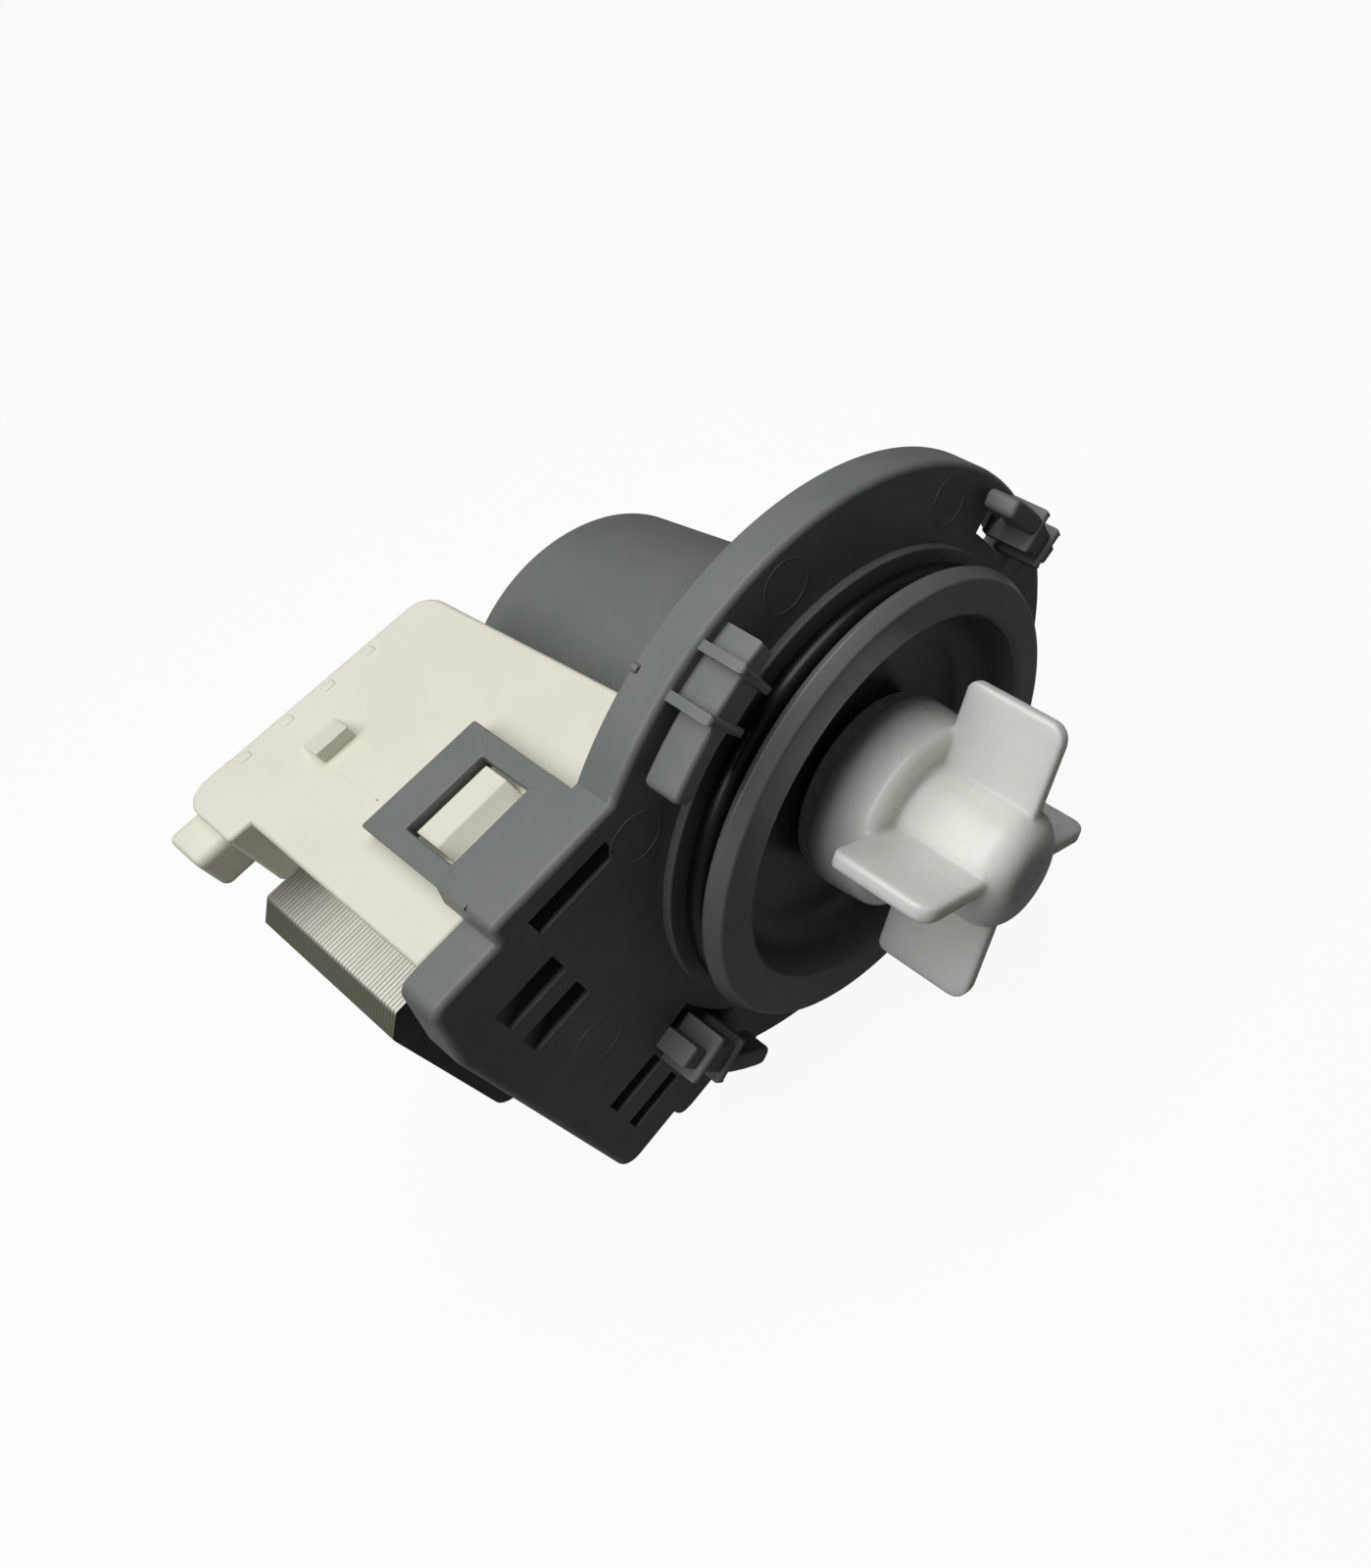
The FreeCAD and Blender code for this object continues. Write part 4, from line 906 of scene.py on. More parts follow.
    def plate_cutters(self) -> list[Piece]:
        """What is cut from the plate: the collar's recess, the slots and the hook windows.

        Returns:
            The mesh objects to cut with.
        """
        front, rear = -self.cut_over, self.flange_thick + self.cut_over
        recess = [(0.0, front), (self.recess_radius, front), (self.recess_radius, rear), (0.0, rear)]
        cutters = [spun("recess", recess, closed=False)]
        for slot in self.slots:
            right = slot.left + slot.width
            outline = [(slot.left, front), (right, front), (right, slot.right_depth),
                       (slot.left, slot.left_depth)]
            top = slot.bottom + slot.height
            cutters.append(slab("slot", [outline], slot.bottom, top, 0.0, Plane.PLAN))
        for index in range(self.hooks):
            start = 360 / self.hooks * index + self.hook_start
            window = sector(self.window_inner, self.window_outer, start, start + self.window_turn, 12)
            end = self.blind_depth if index == self.blind_window else rear
            cutters.append(slab("hook_window", [window], front, end, 0.0))
        return cutters

    def step_ring(self) -> Piece:
        """Low ring round the recess, that the sump seal lies against.

        Returns:
            The mesh object.
        """
        inner, outer, root = self.recess_radius + 0.02, self.step_radius, 0.6
        return spun("seal_step", eased([(inner, root, 0), (inner, self.step_front, 0.2),
                                        (outer, self.step_front, 0.3), (outer, root, 0)], 3))

    def rotor_can(self) -> Piece:
        """Blind can round the rotor, with its bearing pocket at the rear.

        Returns:
            The mesh object.
        """
        wall, bore, pocket = self.can_wall, self.can_bore, self.pocket_bore
        can_end, pocket_end = self.can_rear, self.pocket_rear
        inside = [(0.0, pocket_end, 0), (pocket, pocket_end, 0), (pocket, can_end, 0), (bore, can_end, 0),
                  (bore, 4.3, 0), (10.9, 4.3, 0)]
        floor = [(10.9, self.recess_floor, 0.2), (25.8, self.recess_floor, 0), (25.8, 4.9, 0),
                 (13.0, 4.9, 0.4), (13.0, 8.0, 0.4)]
        outside = [(bore + wall, 8.0, 0.4), (bore + wall, can_end + wall, 0.5),
                   (pocket + wall, can_end + wall, 0.4), (pocket + wall, pocket_end + wall, 0.5),
                   (0.0, pocket_end + wall, 0)]
        return spun("rotor_can", eased([*inside, *floor, *outside], 4), 96, closed=False)

    def shroud(self) -> Piece:
        """Drafted shell round the pole ends, cut off along the coil cover's side.

        Returns:
            The mesh object.
        """
        outer, rear, wall = self.shroud_radius, self.shroud_rear_radius, self.shroud_wall
        profile = eased([(outer, self.shroud_front, 0), (rear, self.shroud_reach, 0.5),
                         (rear - wall, self.shroud_reach, 0.3), (outer - wall, self.shroud_front, 0)], 4)
        shell = spun("pole_shroud", profile, 160, self.shroud_centre)
        front, back = (Vector((x, y, 0.0)) for x, y in self.shroud_cut)
        run = back - front
        with hold_open(shell):
            bpy.ops.mesh.bisect(plane_co=front * MM, plane_no=Vector((run.y, -run.x, 0)).normalized(),
                                use_fill=True, clear_inner=True, clear_outer=False)
        tidy_mesh(shell)
        return shell

    def clip(self) -> Piece:
        """Thin spring arm with its window.

        Returns:
            The mesh object.
        """
        left, right, start, end = -self.clip_left, -self.clip_right, self.root_reach - 1.5, self.clip_reach
        outline = eased([(left, start, 0), (right, start, 0), (right, end, 0.3), (left, end, 0.3)], 4)
        eye = eased([(-self.eye_left, self.eye_front, 0.2), (-self.eye_right, self.eye_front, 0.2),
                     (-self.eye_right, self.eye_rear, 0.2), (-self.eye_left, self.eye_rear, 0.2)], 3)
        return slab("snap_clip", [outline, eye], self.arm_top - self.arm_thick, self.arm_top, 0.2,
                    Plane.PLAN)

    def hook(self) -> Piece:
        """One bayonet hook: block between two ribs, a small block above and a long end below.

        Returns:
            The mesh object.
        """
        inner, outer, front, edge = self.hook_inner, self.hook_outer, self.hook_front, self.hook_edge
        upper, lower = self.rib_starts
        # Each block starts and ends inside a rib.
        top = sector(inner, outer, self.hook_start, upper + 0.8)
        middle = sector(self.middle_inner, outer, upper + 0.4, lower + 1.0)
        below, straight = lower + 0.6, self.end_straight
        end = eased([*sharp(arc(outer, below, straight, 3)), (*polar(outer, self.end_turn), 1.2),
                     (*polar(inner, self.end_turn), 1.0), *sharp(arc(inner, straight, below, 3))], 5)
        parts = [slab("hook_top", [top], front + 0.3, 1.0, 0.45, steps=3),
                 slab("hook_middle", [middle], front, 1.0, edge, steps=3),
                 slab("hook_end", [end], front - 0.4, -0.9, 0.6, steps=3)]
        for start in self.rib_starts:
            rib = sector(self.rib_inner, self.rib_outer, start, start + self.rib_turn)
            parts.append(slab("hook_rib", [rib], front - 0.6, 1.5, edge, steps=3))
        return join("bayonet_hook", parts)

    def tool_marks(self) -> Piece:
        """Thin witness rings of the ejectors on the front faces, and the gate stub on the rim.

        Returns:
            The mesh object.
        """
        radius, buried, proud = self.ejector_radius, 0.06, -0.05
        ring = [(radius, buried), (radius + 0.05, proud), (radius + 0.15, proud), (radius + 0.2, buried)]
        places = [*[polar(self.ejector_circle, turn) for turn in self.ejector_turns], self.plate_ejector]
        marks = [spun("ejector_ring", ring, 56, place) for place in places]
        stub = eased([(0.0, 4.1, 0), (0.5, 4.1, 0.2), (0.55, 5.0, 0.2), (0.0, 5.0, 0)], 3)
        gate = polar(self.flange_radius - 0.1, self.gate_turn)
        marks.append(spun("gate_stub", stub, 24, gate, closed=False))
        return join("tool_marks", marks)


@dataclass
class FrontCollar:
    """Smooth dished collar in front of the rotor can, with the rubber ring behind its rim."""

    finishes: Finishes
    rim_radius: float = 30.6
    shoulder_radius: float = 26.6
    spigot_radius: float = 25.3
    mouth_radius: float = 25.3
    rim_front: float = -7.5
    dish_floor: float = -0.2
    neck_radius: float = 9.15
    neck_reach: float = 12.45
    floor_rear: float = 2.45
    seal_thick: float = 2.9
    seal_middle: float = -2.5

    def build(self) -> None:
        """Build the collar and the sump seal."""
        dress(self.collar(), self.finishes.collar, nodes=("front_collar",), even=False)
        dress(self.seal(), self.finishes.rubber, nodes=("sump_seal",), even=False)

    def collar(self) -> Piece:
        """Rim, bevelled mouth, dish and spigot as one turned shape.

        Returns:
            The mesh object.
        """
        dish = [(5.2, self.dish_floor, 0.3), (23.2, self.dish_floor, 4.6)]
        rim = [(24.8, -7.0, 0.3), (self.mouth_radius, self.rim_front, 0.3), (29.7, self.rim_front, 0.5),
               (self.rim_radius, -5.8, 0.4), (self.rim_radius - 0.3, -5.1, 0.2)]
        spigot = [(self.shoulder_radius, -4.0, 0.3), (self.shoulder_radius, -1.05, 0),
                  (self.spigot_radius, -1.05, 0), (self.spigot_radius, self.floor_rear, 0.3)]
        neck = [(self.neck_radius, self.floor_rear, 0.2), (self.neck_radius, self.neck_reach, 0.3),
                (6.05, self.neck_reach, 0.2), (6.05, 3.6, 0), (3.0, 3.6, 0), (3.0, 2.6, 0), (5.2, 2.6, 0)]
        return spun("front_collar_skin", eased([*dish, *rim, *spigot, *neck], 6), 192)

    def seal(self) -> Piece:
        """Round rubber ring on the collar's shoulder.

        Returns:
            The mesh object.
        """
        half, steps = self.seal_thick / 2, 20
        middle = self.shoulder_radius + 0.05 + half
        turns = [math.tau * step / steps for step in range(steps)]
        ring = [(middle + half * math.cos(turn), self.seal_middle + half * math.sin(turn))
                for turn in turns]
        return spun("sump_ring", ring, 160)


@dataclass
class Impeller:
    """Ivory bell, nose and four vanes, with the cap behind the bell."""

    finishes: Finishes
    vane_radius: float = 19.0
    vane_rear: float = -11.4
    vane_front: float = -25.0
    vane_thick: float = 2.1
    vane_turn: float = 47.4
    vane_pairs: int = 2
    nose_round: float = 4.2
    nose_inner: float = 3.7
    nose_start: float = -22.9
    bore_radius: float = 1.7
    bore_front: float = -23.0
    bell_rear: float = -4.1
    chamber_radius: float = 11.6
    chamber_front: float = -9.0
    cap_radius: float = 12.4
    cap_rear: float = -1.7
    voxel: float = 0.26

    def build(self) -> None:
        """Build the wheel and its cap."""
        ivory, slot = self.finishes.acetal, "impeller_plastic"
        dress(self.wheel(), ivory, IMPELLER_WHEEL, ("impeller",), smooth=60.0, even=False)
        dress(self.cap(), ivory, IMPELLER_WHEEL, ("impeller_cap",), even=False)

    def wheel(self) -> Piece:
        """Turned body with the coupling's chamber, united with the vanes and softened.

        Returns:
            The mesh object.
        """
        bore, front = self.bore_radius, self.bore_front
        chamber = [(0.0, front, 0), (bore, front, 0), (bore, self.chamber_front, 0),
                   (10.9, self.chamber_front, 0.3), (self.chamber_radius, self.chamber_front + 0.7, 0.3),
                   (self.chamber_radius, self.bell_rear, 0.2)]
        bell = [(13.1, self.bell_rear, 0.3), (12.5, -12.0, 1.5), (9.8, -11.8, 1.0), (7.9, -11.6, 0.6)]
        turns = [math.pi * step / 16 for step in range(9)]
        nose = [(self.nose_inner + self.nose_round * math.cos(turn),
                 self.nose_start - self.nose_round * math.sin(turn)) for turn in turns]
        dish = [(3.3, -27.1, 0.15), (3.0, -26.7, 0.3), (0.0, -26.7, 0)]
        body = spun("impeller_skin", eased([*chamber, *bell, *sharp(nose), *dish], 6), 128, closed=False)
        for index in range(self.vane_pairs):
            vane = slab(f"vane_pair_{index}", [self.vane_outline()], -self.vane_thick / 2,
                        self.vane_thick / 2, 0.3, Plane.PLAN)
            vane.rotation_euler = (0, -math.radians(self.vane_turn + 90 * index), 0)
            settle(vane)
            unite(body, vane)
        # The vanes cross the shaft's bore, so it is cut once more.
        bore_outline = [(0.0, -4.0), (bore, -4.0), (bore, front), (0.0, front)]
        cut_away(body, spun("shaft_bore", bore_outline, 48, closed=False))
        shape(body, "REMESH", mode="VOXEL", voxel_size=self.voxel * MM, use_smooth_shade=True)
        shape(body, "SMOOTH", factor=0.5, iterations=5)
        return body

    def vane_outline(self) -> list[Point2]:
        """Outline of one pair of vanes across the axis.

        Returns:
            The outline's points, in x and y.
        """
        end, rear, front = self.vane_radius, self.vane_rear, self.vane_front
        return eased([(-end, rear, 1.2), (-end, front, 2.3), (end, front, 2.3), (end, rear, 1.2)], 7)

    def cap(self) -> Piece:
        """Ring seen behind the bell's rim, that closes the coupling's chamber.

        Returns:
            The mesh object.
        """
        inner, plug, seat = 2.4, self.chamber_radius - 0.05, self.bell_rear + 0.05
        profile = eased([(inner, self.cap_rear, 0.2), (self.cap_radius, self.cap_rear, 0.7),
                         (self.cap_radius, seat, 0.15), (plug, seat, 0), (plug, -5.25, 0),
                         (inner, -5.25, 0.2)], 4)
        return spun("impeller_cap_skin", profile, 96)


@dataclass
class CoilCover:
    """Warm white cover over the coils, with ramp, nub, bumps, corner block, swellings and socket."""

    finishes: Finishes
    left: float = 47.2
    right: float = 15.1
    right_rear: float = 18.0
    top: float = 29.1
    bottom: float = 21.0
    front: float = 5.1
    rear: float = 41.0
    wall: float = 1.5
    notch_half: float = 14.65
    notch_rear: float = 37.65
    ramp_left: float = -38.35
    ramp_right: float = -29.55
    ramp_top: float = 30.5
    pocket: float = 1.2
    pocket_front: float = 9.6
    ear_left: float = -49.7
    ear_bottom: float = 19.6
    nub_left: float = -38.6
    nub_right: float = -34.6
    line_high: float = 29.13
    bumps: int = 4
    bump_right: float = -26.2
    bump_step: float = 5.3
    bump_width: float = 1.7
    swell_left: float = -43.45
    swell_right: float = -18.65
    swell_low: float = 1.7
    swell_high: float = 20.8
    swell_rear: float = 43.8
    mouth_left: float = -43.0
    mouth_right: float = -25.0
    mouth_low: float = 21.2
    mouth_high: float = 27.6
    socket_wall: float = 1.0
    socket_floor: float = 29.0

    def build(self) -> None:
        """Build the shell and what stands on it."""
        white, slot = self.finishes.cover, "cover_plastic"
        dress(self.shell(), white, nodes=("coil_cover",))
        dress(self.ramp(), white)
        dress(self.stops(), white)
        dress(self.corner(), white)
        dress(self.swellings(), white)
        dress(self.socket(), white)

    def plan(self, inset: float, rounding: float) -> list[Point2]:
        """Outline seen from above.

        Args:
            inset: how far it is drawn in.
            rounding: radius of the right rear corner.

        Returns:
            The outline's points, in x and y.
        """
        start = self.front - (1.0 if inset else 0.0)
        return eased([(-self.left + inset, start, 0), (-self.right - inset, start, 0),
                      (-self.right_rear - inset, self.rear - inset, rounding),
                      (-self.left + inset, self.rear - inset, 0.5)], 6)

    def shell(self) -> Piece:
        """Hollow box, open to the front, notched for the core and with an ear at its left rear.

        Returns:
            The mesh object.
        """
        shell = slab("coil_cover_skin", [self.plan(0.0, 3.0)], -self.bottom, self.top, 0.7, Plane.PLAN, 3)
        cut_away(shell, slab("cover_room", [self.plan(self.wall, 2.0)], -self.bottom + self.wall,
                             self.top - self.wall, 0.2, Plane.PLAN))
        cut_away(shell, block("core_notch", (-60.0, 4.0, -self.notch_half),
                              (0.0, self.notch_rear, self.notch_half)))
        pocket_low = (self.ramp_left, self.pocket_front - 1.4, self.top - self.pocket)
        cut_away(shell, block("ramp_pocket", pocket_low, (self.ramp_right, 13.0, self.top + 1.0)))
        cut_away(shell, block("mouth", (self.mouth_left, 38.0, self.mouth_low),
                              (self.mouth_right, 42.0, self.mouth_high)))
        ear = eased([(self.ear_left, 32.2, 0.6), (-44.0, 32.2, 0), (-44.0, self.rear, 0),
                     (self.ear_left, self.rear, 3.0)], 6)
        unite(shell, slab("cover_ear", [ear], self.ear_bottom, self.top, 0.5, Plane.PLAN))
        tidy_mesh(shell)
        return shell

    def ramp(self) -> Piece:
        """Snap ramp that fills the clip's window.

        Returns:
            The mesh object.
        """
        low, rear = self.top - self.pocket, 15.3
        side = eased([(self.pocket_front, low, 0), (12.2, self.ramp_top, 0.6), (rear, self.ramp_top, 0.2),
                      (rear, low, 0)], 4)
        return slab("cover_ramp", [side], self.ramp_left, self.ramp_right, 0.15, Plane.SIDE)

    def stops(self) -> Piece:
        """Small wedge on the top, two flow lines ahead of it and the row of low bumps at the rear.

        Returns:
            The mesh object.
        """
        wedge = eased([(31.3, 28.6, 0), (31.3, 31.0, 0.25), (35.3, 29.12, 0), (35.3, 28.6, 0)], 3)
        parts = [slab("cover_nub", [wedge], self.nub_left, self.nub_right, 0.12, Plane.SIDE)]
        for line in ([(-38.8, 30.7), (-38.6, 30.7), (-38.1, 22.7), (-38.3, 22.7)],
                     [(-38.2, 22.7), (-38.1, 22.9), (-39.8, 24.8), (-40.0, 24.6)]):
            parts.append(slab("flow_line", [line], 28.9, self.line_high, 0.03, Plane.PLAN))
        for index in range(self.bumps):
            right = self.bump_right - self.bump_step * index
            bump = block("cover_bump", (right - self.bump_width, 38.9, 28.5), (right, 40.2, 29.27))
            ease_edges(bump, 0.4, 3)
            parts.append(bump)
        return join("cover_stops", parts)

    def corner(self) -> Piece:
        """Round-nosed block outside the ear at the rear left corner.

        Returns:
            The mesh object.
        """
        side = eased([(34.4, 21.8, 1.2), (40.5, 21.8, 1.6), (40.5, 27.5, 1.6), (34.4, 27.5, 1.2)], 5)
        return slab("cover_corner", [side], -53.3, -48.5, 0.8, Plane.SIDE, 3)

    def swellings(self) -> Piece:
        """Swellings of the rear wall round the two coils.

        Returns:
            The mesh object.
        """
        parts = []
        for low, high in ((self.swell_low, self.swell_high), (-self.swell_high, -self.swell_low)):
            outline = eased([(self.swell_left, low, 1.5), (self.swell_right, low, 1.5),
                             (self.swell_right, high, 1.5), (self.swell_left, high, 1.5)], 4)
            parts.append(slab("coil_bulge", [outline], self.rear - 1.0, self.swell_rear, 0.8, steps=3))
        return join("coil_bulges", parts)

    def socket(self) -> Piece:
        """Walls and floor of the terminal socket, open to the rear.

        Returns:
            The mesh object.
        """
        left, right, low, high = self.mouth_left, self.mouth_right, self.mouth_low, self.mouth_high
        wall = self.socket_wall
        outline = eased([(left - wall, low - wall, 0.4), (right + wall, low - wall, 0.4),
                         (right + wall, high + 0.75, 0.4), (left - wall, high + 0.75, 0.4)], 2)
        mouth = eased([(left, low, 0.4), (right, low, 0.4), (right, high, 0.4), (left, high, 0.4)], 2)
        tube = slab("terminal_socket", [outline, mouth], self.socket_floor, self.rear - 0.1, 0.15)
        floor = block("socket_floor", (left - 0.5, self.socket_floor, low - 0.5),
                      (right + 0.5, self.socket_floor + 1.0, high + 0.4))
        ease_edges(floor, 0.15)
        return join("terminal_socket", [tube, floor])


@dataclass
class SheetCore:
    """Laminated core: yoke and poles as stacks of punched sheets."""

    finishes: Finishes
    sheets: int = 47
    thick: float = 0.5
    gap: float = 0.01
    edge: float = 0.035
    front: float = 14.0
    half: float = 14.5
    left: float = 54.5
    joint: float = 47.5
    pole_centre: Point2 = (-4.3, 0.2)
    pole_radius: float = 18.2
    pole_bore: float = 10.55
    coil_half: float = 8.0
    coil_right: float = -11.9

    def build(self) -> None:
        """Build both stacks."""
        steel, slot = self.finishes.core, "core_steel"
        dress(self.stack("yoke_sheets", [self.yoke_outline()]), steel, nodes=("yoke_core",))
        bore = arc(self.pole_bore, 0, 360, 72)[:-1]
        dress(self.stack("pole_sheets", [self.pole_outline(), bore]), steel, nodes=("pole_core",))

    def stack(self, name: str, outlines: Sequence[Sequence[Point2]]) -> Piece:
        """Stack copies of one punched sheet behind each other.

        Args:
            name: the piece's name.
            outlines: the sheet's outline, then its holes.

        Returns:
            The mesh object.
        """
        sheet = slab(name, outlines, self.front, self.front + self.thick - self.gap, self.edge, steps=0)
        shape(sheet, "ARRAY", count=self.sheets, use_relative_offset=False, use_constant_offset=True,
              constant_offset_displace=(0, self.thick * MM, 0))
        return sheet

    def yoke_outline(self) -> list[Point2]:
        """Outline of a yoke sheet.

        Returns:
            The outline's points, in x and z.
        """
        half, left, joint = self.half, self.left, self.joint
        return eased([(-left, half - 2.8, 0.8), (-left, -half, 2.6), (-joint, -half, 0), (-joint, half, 0),
                      (2.3 - left, half, 0.3)], 6)

    def pole_outline(self) -> list[Point2]:
        """Outline of a pole sheet: two legs that end round the rotor.

        Returns:
            The outline's points, in x and z.
        """
        x, z = self.pole_centre
        radius, coil, steps = self.pole_radius, self.coil_half, 40
        start = math.asin((self.half - z) / radius)
        end = -math.asin((self.half + z) / radius)
        turns = [start + (end - start) * step / steps for step in range(steps + 1)]
        nose = [(x + radius * math.cos(turn), z + radius * math.sin(turn)) for turn in turns]
        left = -self.joint + 0.05
        return [(left, self.half), *nose, (left, -self.half), (left, -coil), (self.coil_right, -coil),
                (self.coil_right, coil), (left, coil)]


@dataclass
class Windings:
    """Two coils of enamelled wire; the outer layer's turns are drawn thicker than the real 0.2 mm."""

    finishes: Finishes
    wire: float = 0.55
    pitch_share: float = 0.99
    left: float = 40.6
    right: float = 21.5
    front: float = 9.45
    rear: float = 42.05
    low: float = 3.45
    high: float = 19.05
    depth: float = 3.6
    hole_front: float = 13.0
    hole_rear: float = 38.5

    def build(self) -> None:
        """Build the outer layer of each coil round its packed core."""
        for name, low, high in (("winding_upper", self.low, self.high),
                                ("winding_lower", -self.high, -self.low)):
            dress(self.layer(f"{name}_turns", low, high), self.finishes.copper,
                  nodes=(name,), smooth=80.0, even=False)

    def layer(self, name: str, low: float, high: float) -> Piece:
        """Turns of wire side by side along the bobbin.

        Args:
            name: the piece's name.
            low: lower side of the winding.
            high: upper side of the winding.

        Returns:
            The mesh object.
        """
        front, rear, depth = self.front, self.rear, self.depth
        outline = eased([(front, low, 2.0), (rear, low, 2.0), (rear, high, 2.0), (front, high, 2.0)], 4)
        hole = [(self.hole_front, low + depth), (self.hole_rear, low + depth),
                (self.hole_rear, high - depth), (self.hole_front, high - depth)]
        turn = slab(name, [outline, hole], -self.left, -self.left + self.wire, self.wire * 0.4, Plane.SIDE)
        shape(turn, "ARRAY", count=int((self.left - self.right) / self.wire), use_relative_offset=False,
              use_constant_offset=True,
              constant_offset_displace=(self.wire * self.pitch_share * MM, 0, 0))
        return turn


@dataclass
class InnerParts:
    """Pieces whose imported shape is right: they only get their finish."""

    finishes: Finishes

    def dress_nodes(self) -> None:
        """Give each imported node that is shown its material."""
        made = self.finishes
        groups = (
            (made.rubber, ("can_seal", "shaft_seal", "front_bearing_seat", "rear_bearing_seat",
                           "dog_damper")),
            (made.bearing, ("front_bearing", "rear_bearing")),
            (made.shaft, ("rotor_shaft",)),
            (made.ferrite, ("rotor_magnet",)),
            (made.hub, ("rotor_hub", "drive_dog")),
            (made.washer, ("front_thrust_washer", "rear_thrust_washer")),
            (made.bobbin, ("bobbin_upper", "bobbin_lower")),
            (made.brass, ("terminal_left", "terminal_right")),
        )
        for material, names in groups:
            for name in names:
                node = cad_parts[name]
                for place in node.material_slots:
                    place.material = material
                if not node.material_slots:
                    node.data.materials.append(material)
                LOG.info("dressed %s", name)


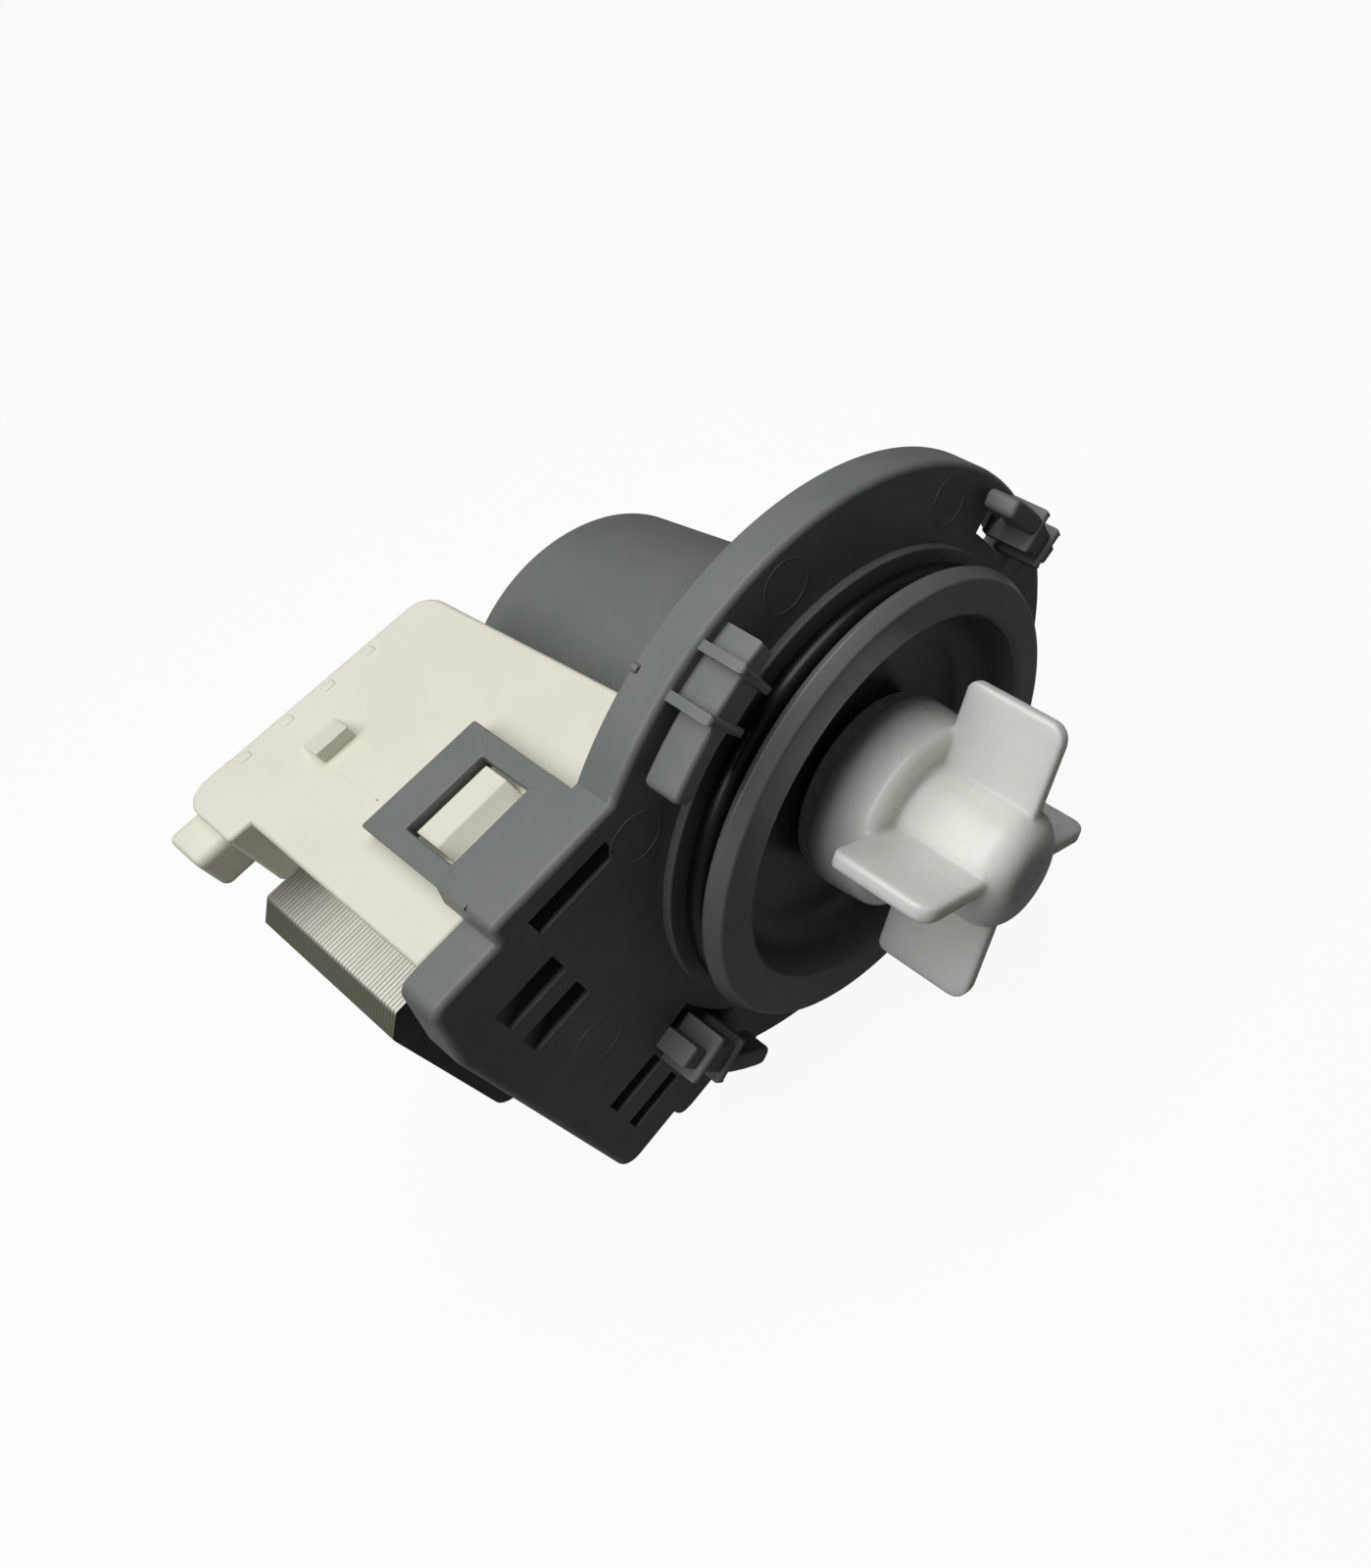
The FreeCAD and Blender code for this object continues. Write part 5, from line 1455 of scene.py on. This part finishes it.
@dataclass
class Studio:
    """Pale table, soft lamp above, and the camera at the photo's viewing angle."""

    eye: Point3 = (-42.29, -67.79, 124.57)
    across: Point3 = (0.58029, -0.80865, -0.09672)
    down: Point3 = (-0.70321, -0.4376, -0.56036)
    ahead: Point3 = (0.41081, 0.39319, -0.82258)
    focal_px: float = 1190.6
    long_px: float = 1600.0
    shift: Point2 = (-0.2, -0.06)
    sensor: float = 36.0
    table_z: float = -41.6
    table_size: float = 3000.0
    table_lit: str = "#50504D"
    table_seen: str = "#F4F4F2"
    table_white_share: float = 0.93
    panel_place: Point3 = (-70.0, 45.0, 340.0)
    panel_size: Point2 = (640.0, 230.0)
    panel_power: float = 1.62
    wall_colour: str = "#E8ECEF"
    wall_light: float = 0.04
    mirror_share: float = 0.1

    def build(self) -> None:
        """Set the view transform and build table, lamp, walls and camera."""
        bpy.context.scene.view_settings.view_transform = "Standard"
        self.table()
        self.lamp()
        self.walls()
        self.camera()

    def camera(self) -> None:
        """Place the camera."""
        data = bpy.data.cameras.new("viewer")
        data.sensor_width = self.sensor
        data.lens = self.focal_px * self.sensor / self.long_px
        data.shift_x, data.shift_y = self.shift
        data.clip_start, data.clip_end = 0.005, 10.0
        camera = bpy.data.objects.new("viewer", data)
        bpy.context.scene.collection.objects.link(camera)
        turn = Matrix((Vector(self.across), -Vector(self.down), -Vector(self.ahead))).transposed().to_4x4()
        camera.matrix_world = Matrix.Translation(Vector(self.eye) * MM) @ turn
        bpy.context.scene.camera = camera

    def table(self) -> None:
        """Wide flat table that looks white to the camera and keeps the pump's shadow."""
        bpy.ops.object.select_all(action="DESELECT")
        bpy.ops.mesh.primitive_plane_add(size=self.table_size * MM, location=(0, 0, self.table_z * MM))
        top = bpy.context.object
        top.name = "table_top"
        settle(top)
        material = bpy.data.materials.new("white_table")
        material.use_nodes = True
        tree = material.node_tree
        tree.nodes.clear()
        path = add_node(tree, "ShaderNodeLightPath")
        mirrored = add_node(tree, "ShaderNodeMath", {"operation": "MULTIPLY", 1: self.mirror_share},
                            {0: path.outputs["Is Glossy Ray"]})
        direct = add_node(tree, "ShaderNodeMath", {"operation": "MAXIMUM"},
                          {0: path.outputs["Is Camera Ray"], 1: path.outputs["Is Transmission Ray"]})
        seen = add_node(tree, "ShaderNodeMath", {"operation": "MAXIMUM"},
                        {0: mirrored.outputs["Value"], 1: direct.outputs["Value"]})
        tone = add_node(tree, "ShaderNodeMix",
                        {"data_type": "RGBA", "A": linear(self.table_lit), "B": linear(self.table_seen)},
                        {"Factor": seen.outputs["Value"]})
        paper = add_node(tree, "ShaderNodeBsdfDiffuse", links={"Color": tone.outputs["Result"]})
        white = add_node(tree, "ShaderNodeEmission", {"Color": (1, 1, 1, 1), "Strength": 1.0})
        share = add_node(tree, "ShaderNodeMath", {"operation": "MULTIPLY", 1: self.table_white_share},
                         {0: seen.outputs["Value"]})
        mix = add_node(tree, "ShaderNodeMixShader",
                       links={0: share.outputs["Value"], 1: paper.outputs["BSDF"],
                              2: white.outputs["Emission"]})
        add_node(tree, "ShaderNodeOutputMaterial", links={"Surface": mix.outputs["Shader"]})
        top.data.materials.append(material)

    def lamp(self) -> None:
        """Long soft panel above the table, turned towards the pump."""
        data = bpy.data.lights.new("ceiling_panel", "AREA")
        data.shape = "RECTANGLE"
        data.size, data.size_y = (value * MM for value in self.panel_size)
        data.energy = self.panel_power
        panel = bpy.data.objects.new("ceiling_panel", data)
        bpy.context.scene.collection.objects.link(panel)
        back = Vector(self.panel_place).normalized()
        side = Vector((0, 1, 0)).cross(back).normalized()
        turn = Matrix((side, back.cross(side), back)).transposed().to_4x4()
        panel.matrix_world = Matrix.Translation(Vector(self.panel_place) * MM) @ turn

    def walls(self) -> None:
        """World that looks white but lights the pump only weakly."""
        world = bpy.data.worlds.new("studio_walls")
        bpy.context.scene.world = world
        world.use_nodes = True
        tree = world.node_tree
        tree.nodes.clear()
        path = add_node(tree, "ShaderNodeLightPath")
        dim = add_node(tree, "ShaderNodeBackground",
                       {"Color": linear(self.wall_colour), "Strength": self.wall_light})
        white = add_node(tree, "ShaderNodeBackground", {"Color": (1, 1, 1, 1), "Strength": 1.0})
        seen = add_node(tree, "ShaderNodeMath", {"operation": "MULTIPLY_ADD", 1: self.mirror_share},
                        {0: path.outputs["Is Glossy Ray"], 2: path.outputs["Is Camera Ray"]})
        mix = add_node(tree, "ShaderNodeMixShader",
                       links={0: seen.outputs["Value"], 1: dim.outputs["Background"],
                              2: white.outputs["Background"]})
        add_node(tree, "ShaderNodeOutputWorld", links={"Surface": mix.outputs["Shader"]})


def main() -> None:
    """Build the studio and each sub-assembly."""
    logging.basicConfig(level=logging.INFO, format="%(message)s")
    Studio().build()
    finishes = Finishes()
    for assembly in (PumpBody(finishes), FrontCollar(finishes), Impeller(finishes), CoilCover(finishes),
                     SheetCore(finishes), Windings(finishes)):
        assembly.build()
        LOG.info("built %s", type(assembly).__name__)
    InnerParts(finishes).dress_nodes()


if __name__ == "__main__":
    main()
